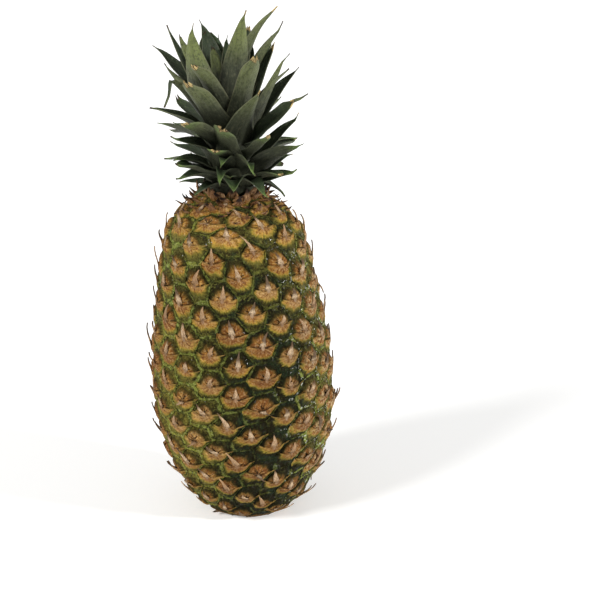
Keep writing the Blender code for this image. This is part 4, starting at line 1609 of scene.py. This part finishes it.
@dataclass
class CollarScales:
    """Dried bracts that crowd round the foot of the crown."""

    skin: Skin
    finish: ScaleFinish = ScaleFinish()
    count: int = 100
    radii: Range = (31 * MM, 12.8 * MM)
    leans: Range = (84.0, 36.0)
    lengths: Range = (4.5 * MM, 11.0 * MM)
    widths: Range = (3.0 * MM, 6.8 * MM)
    columns: int = 4
    stations: int = 6
    sink: float = 1.6 * MM
    thick: float = 0.5 * MM
    lean_spread: float = 14
    length_spread: Range = (0.75, 1.25)
    curl: Range = (-0.7, 0.3)
    skew: float = 1.8
    least_half: float = 0.12 * MM
    golden_turn: float = math.radians(137.5)
    seed: int = 900

    def build(self) -> Piece:
        """Copy the scale round the shoulder and dress the whole."""
        template = model_blade(self.columns, self.stations)
        shape = mesh_places(template.data)
        write_uv(template, "blade", shape)
        u, t, wall = shape.T
        axis = np.array([-self.skin.drift(self.skin.height), 0.0, 0.0])
        copies = []
        for number in range(self.count):
            rng = random.Random(self.seed + number)
            share = number / (self.count - 1)
            low, high = ((1 - share) * a + share * b for a, b in (self.radii, self.leans))
            radius = low + rng.uniform(-1, 1) * MM
            lean = math.radians(high + rng.gauss(0, self.lean_spread))
            length = np.interp(share, (0, 1), self.lengths) * rng.uniform(*self.length_spread)
            half = 0.5 * rng.uniform(*self.widths) * (0.85 + 0.45 * share)
            half = half * (1 - t ** 1.6) ** 0.8 * (1 - 0.35 * t) + self.least_half
            azimuth = number * self.golden_turn + rng.uniform(-0.1, 0.1)
            outward, side = level_directions(azimuth)
            foot = axis + outward * radius
            foot[2] = self.skin.shoulder(foot[0], foot[1])[0] - self.sink
            lean = lean + rng.uniform(*self.curl) * t
            run = length * t
            middle = foot + np.outer(run * np.sin(lean), outward) + np.outer(run * np.cos(lean), UP)
            above = np.outer(np.sin(lean), UP) - np.outer(np.cos(lean), outward)
            skew = rng.uniform(-self.skew, self.skew) * MM * t * t
            cup = 0.5 * half * u * u + wall * self.thick * (1 - 0.6 * t)
            places = middle + side * (half * u + skew)[:, None] + above * cup[:, None]
            copies.append(place_copy(template, places, tag=rng.random()))
        scales = join_copies(template, copies, "collar_scales")
        scales.data.materials.append(self.finish.material())
        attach(scales, "root")
        return scales


# --- cut stalk --------------------------------------------------------


@dataclass(frozen=True)
class StalkFinish:
    """Dry fibrous cut: pale core in dark fibres, browner towards the rim."""

    fibre: Colour = (0.52, 0.38, 0.19)
    dark: Colour = (0.15, 0.085, 0.035)
    rim: Colour = (0.20, 0.12, 0.05)

    def material(self) -> bpy.types.Material:
        """Build the stalk's material."""
        board = Board("cut_stalk")
        x, y, _ = board.place
        away = ((x * x + y * y) ** 0.5) / (14 * MM)
        spots = board.noise(1.0, 3, 0.7, board.scaled(board.spot, (1500.0, 1500.0, 120.0)))
        patch = board.noise(220, 3, 0.6)
        colour = board.layers(
            self.fibre,
            (spots.step(0.45, 0.7), self.dark),
            (away.step(0.6, 1.0) * 0.8 + (patch - 0.5) * 0.5, self.rim),
        )
        return board.finish(colour, 0.75 + spots * 0.15, spots + patch * 0.6, 0.0006, 0.25)


@dataclass
class Stalk:
    """Stub of the stalk in the hollow of the base, cut level with the resting face."""

    finish: StalkFinish = StalkFinish()
    radius: float = 14 * MM
    height: float = 5.5 * MM
    sides: int = 40
    edge: float = 0.5 * MM
    rings: int = 4
    ring_width: float = 2.4 * MM

    def build(self) -> Piece:
        """Make the stub and dress it."""
        deselect_all()
        bpy.ops.mesh.primitive_cylinder_add(vertices=self.sides, radius=self.radius,
                                            depth=self.height, location=(0, 0, self.height / 2))
        stub = bpy.context.object
        stub.name = stub.data.name = "stalk_cut"
        bpy.ops.object.transform_apply(location=True, rotation=True, scale=True)
        bpy.ops.object.mode_set(mode="EDIT")
        bpy.ops.mesh.select_mode(type="FACE")
        bpy.ops.mesh.select_all(action="SELECT")
        bpy.ops.mesh.bevel(offset=self.edge, segments=3, affect="EDGES", profile=0.6)
        select_where(stub, lambda place: place.z < 0.01 * MM)
        for _ in range(self.rings):
            bpy.ops.mesh.inset(thickness=self.ring_width)
        bpy.ops.object.mode_set(mode="OBJECT")
        stub.data.shade_smooth()
        stub.data.materials.append(self.finish.material())
        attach(stub, "root")
        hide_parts("stem")
        return stub


# --- stage ------------------------------------------------------------


@dataclass
class Stage:
    """Pale floor, soft lights and the camera at the shown viewing angle."""

    camera_place: Tuple[float, float, float] = (0.03241251, -0.7325632, 0.36991634)
    camera_pitch: float = 72.212
    lens: float = 75.484
    sensor: float = 36.0
    farthest: float = 50.0
    aim: Tuple[float, float, float] = (0.0, 0.0, 0.14)
    white: Tuple[float, ...] = (1.0, 1.0, 1.0, 1.0)
    floor_size: float = 60.0
    floor_colour: Colour = (0.93, 0.93, 0.92)
    grain_colour: Colour = (0.88, 0.88, 0.87)
    floor_glow: float = 0.24
    sky: float = 0.41
    lights: Tuple[Tuple[str, Tuple[float, float, float], float, float], ...] = (
        ("key", (-1.0, -0.75, 0.95), 2.5, 18.0),
        ("side", (1.1, -0.40, 0.60), 2.7, 7.0),
    )

    def build(self) -> None:
        """Make the floor, the world, the lights and the camera."""
        self.add_floor()
        self.add_lights()
        camera = bpy.data.cameras.new("camera")
        camera.lens, camera.sensor_width, camera.clip_end = self.lens, self.sensor, self.farthest
        viewer = link_new("camera", camera)
        viewer.location = self.camera_place
        viewer.rotation_euler = (math.radians(self.camera_pitch), 0.0, 0.0)
        bpy.context.scene.camera = viewer
        bpy.context.scene.view_settings.view_transform = "Standard"

    def add_floor(self) -> None:
        """Make the pale floor, which glows a little so that shadows stay light."""
        deselect_all()
        bpy.ops.mesh.primitive_plane_add(size=self.floor_size)
        floor = bpy.context.object
        floor.name = "floor"
        board = Board("floor")
        grain = board.noise(900, 2, 0.5)
        colour = board.mix(grain * 0.1, self.floor_colour, self.grain_colour)
        floor.data.materials.append(board.finish(colour, 0.9, grain, 0.02 * MM, 0.1))
        board.shader.inputs["Emission Color"].default_value = self.white
        board.shader.inputs["Emission Strength"].default_value = self.floor_glow

    def add_lights(self) -> None:
        """Make the white sky and the soft lamps, which face the middle of the fruit."""
        world = bpy.data.worlds.new("studio")
        world.use_nodes = True
        sky = world.node_tree.nodes["Background"]
        sky.inputs["Color"].default_value = self.white
        sky.inputs["Strength"].default_value = self.sky
        bpy.context.scene.world = world
        for name, place, power, spread in self.lights:
            lamp = bpy.data.lights.new(name, "SUN")
            lamp.energy, lamp.angle = power, math.radians(spread)
            holder = link_new(name, lamp)
            holder.location = place
            away = Vector(place) - Vector(self.aim)
            holder.rotation_euler = away.to_track_quat("Z", "Y").to_euler()


def report(pieces: Sequence[Piece]) -> None:
    """Log each piece's name, faces and size."""
    for piece in pieces:
        triangles = sum(len(face.vertices) - 2 for face in piece.data.polygons)
        spots = mesh_places(piece.data)
        size = np.ptp(spots, axis=0) / MM
        LOG.info("%s: %d triangles, %.1f x %.1f x %.1f mm", piece.name, triangles, *size)


def main() -> None:
    """Build the fruit, the crown, the stalk and the stage."""
    logging.basicConfig(level=logging.INFO, format="%(name)s: %(message)s", stream=sys.stdout)
    Stage().build()
    skin = Skin()
    rows = EyeRows(skin)
    rind = Rind(skin, rows)
    report([rind.build()])
    report([Bracts(skin, rows, rind).build()])
    report(Crown(skin).build())
    report([CollarScales(skin).build()])
    report([Stalk().build()])


if __name__ == "__main__":
    main()
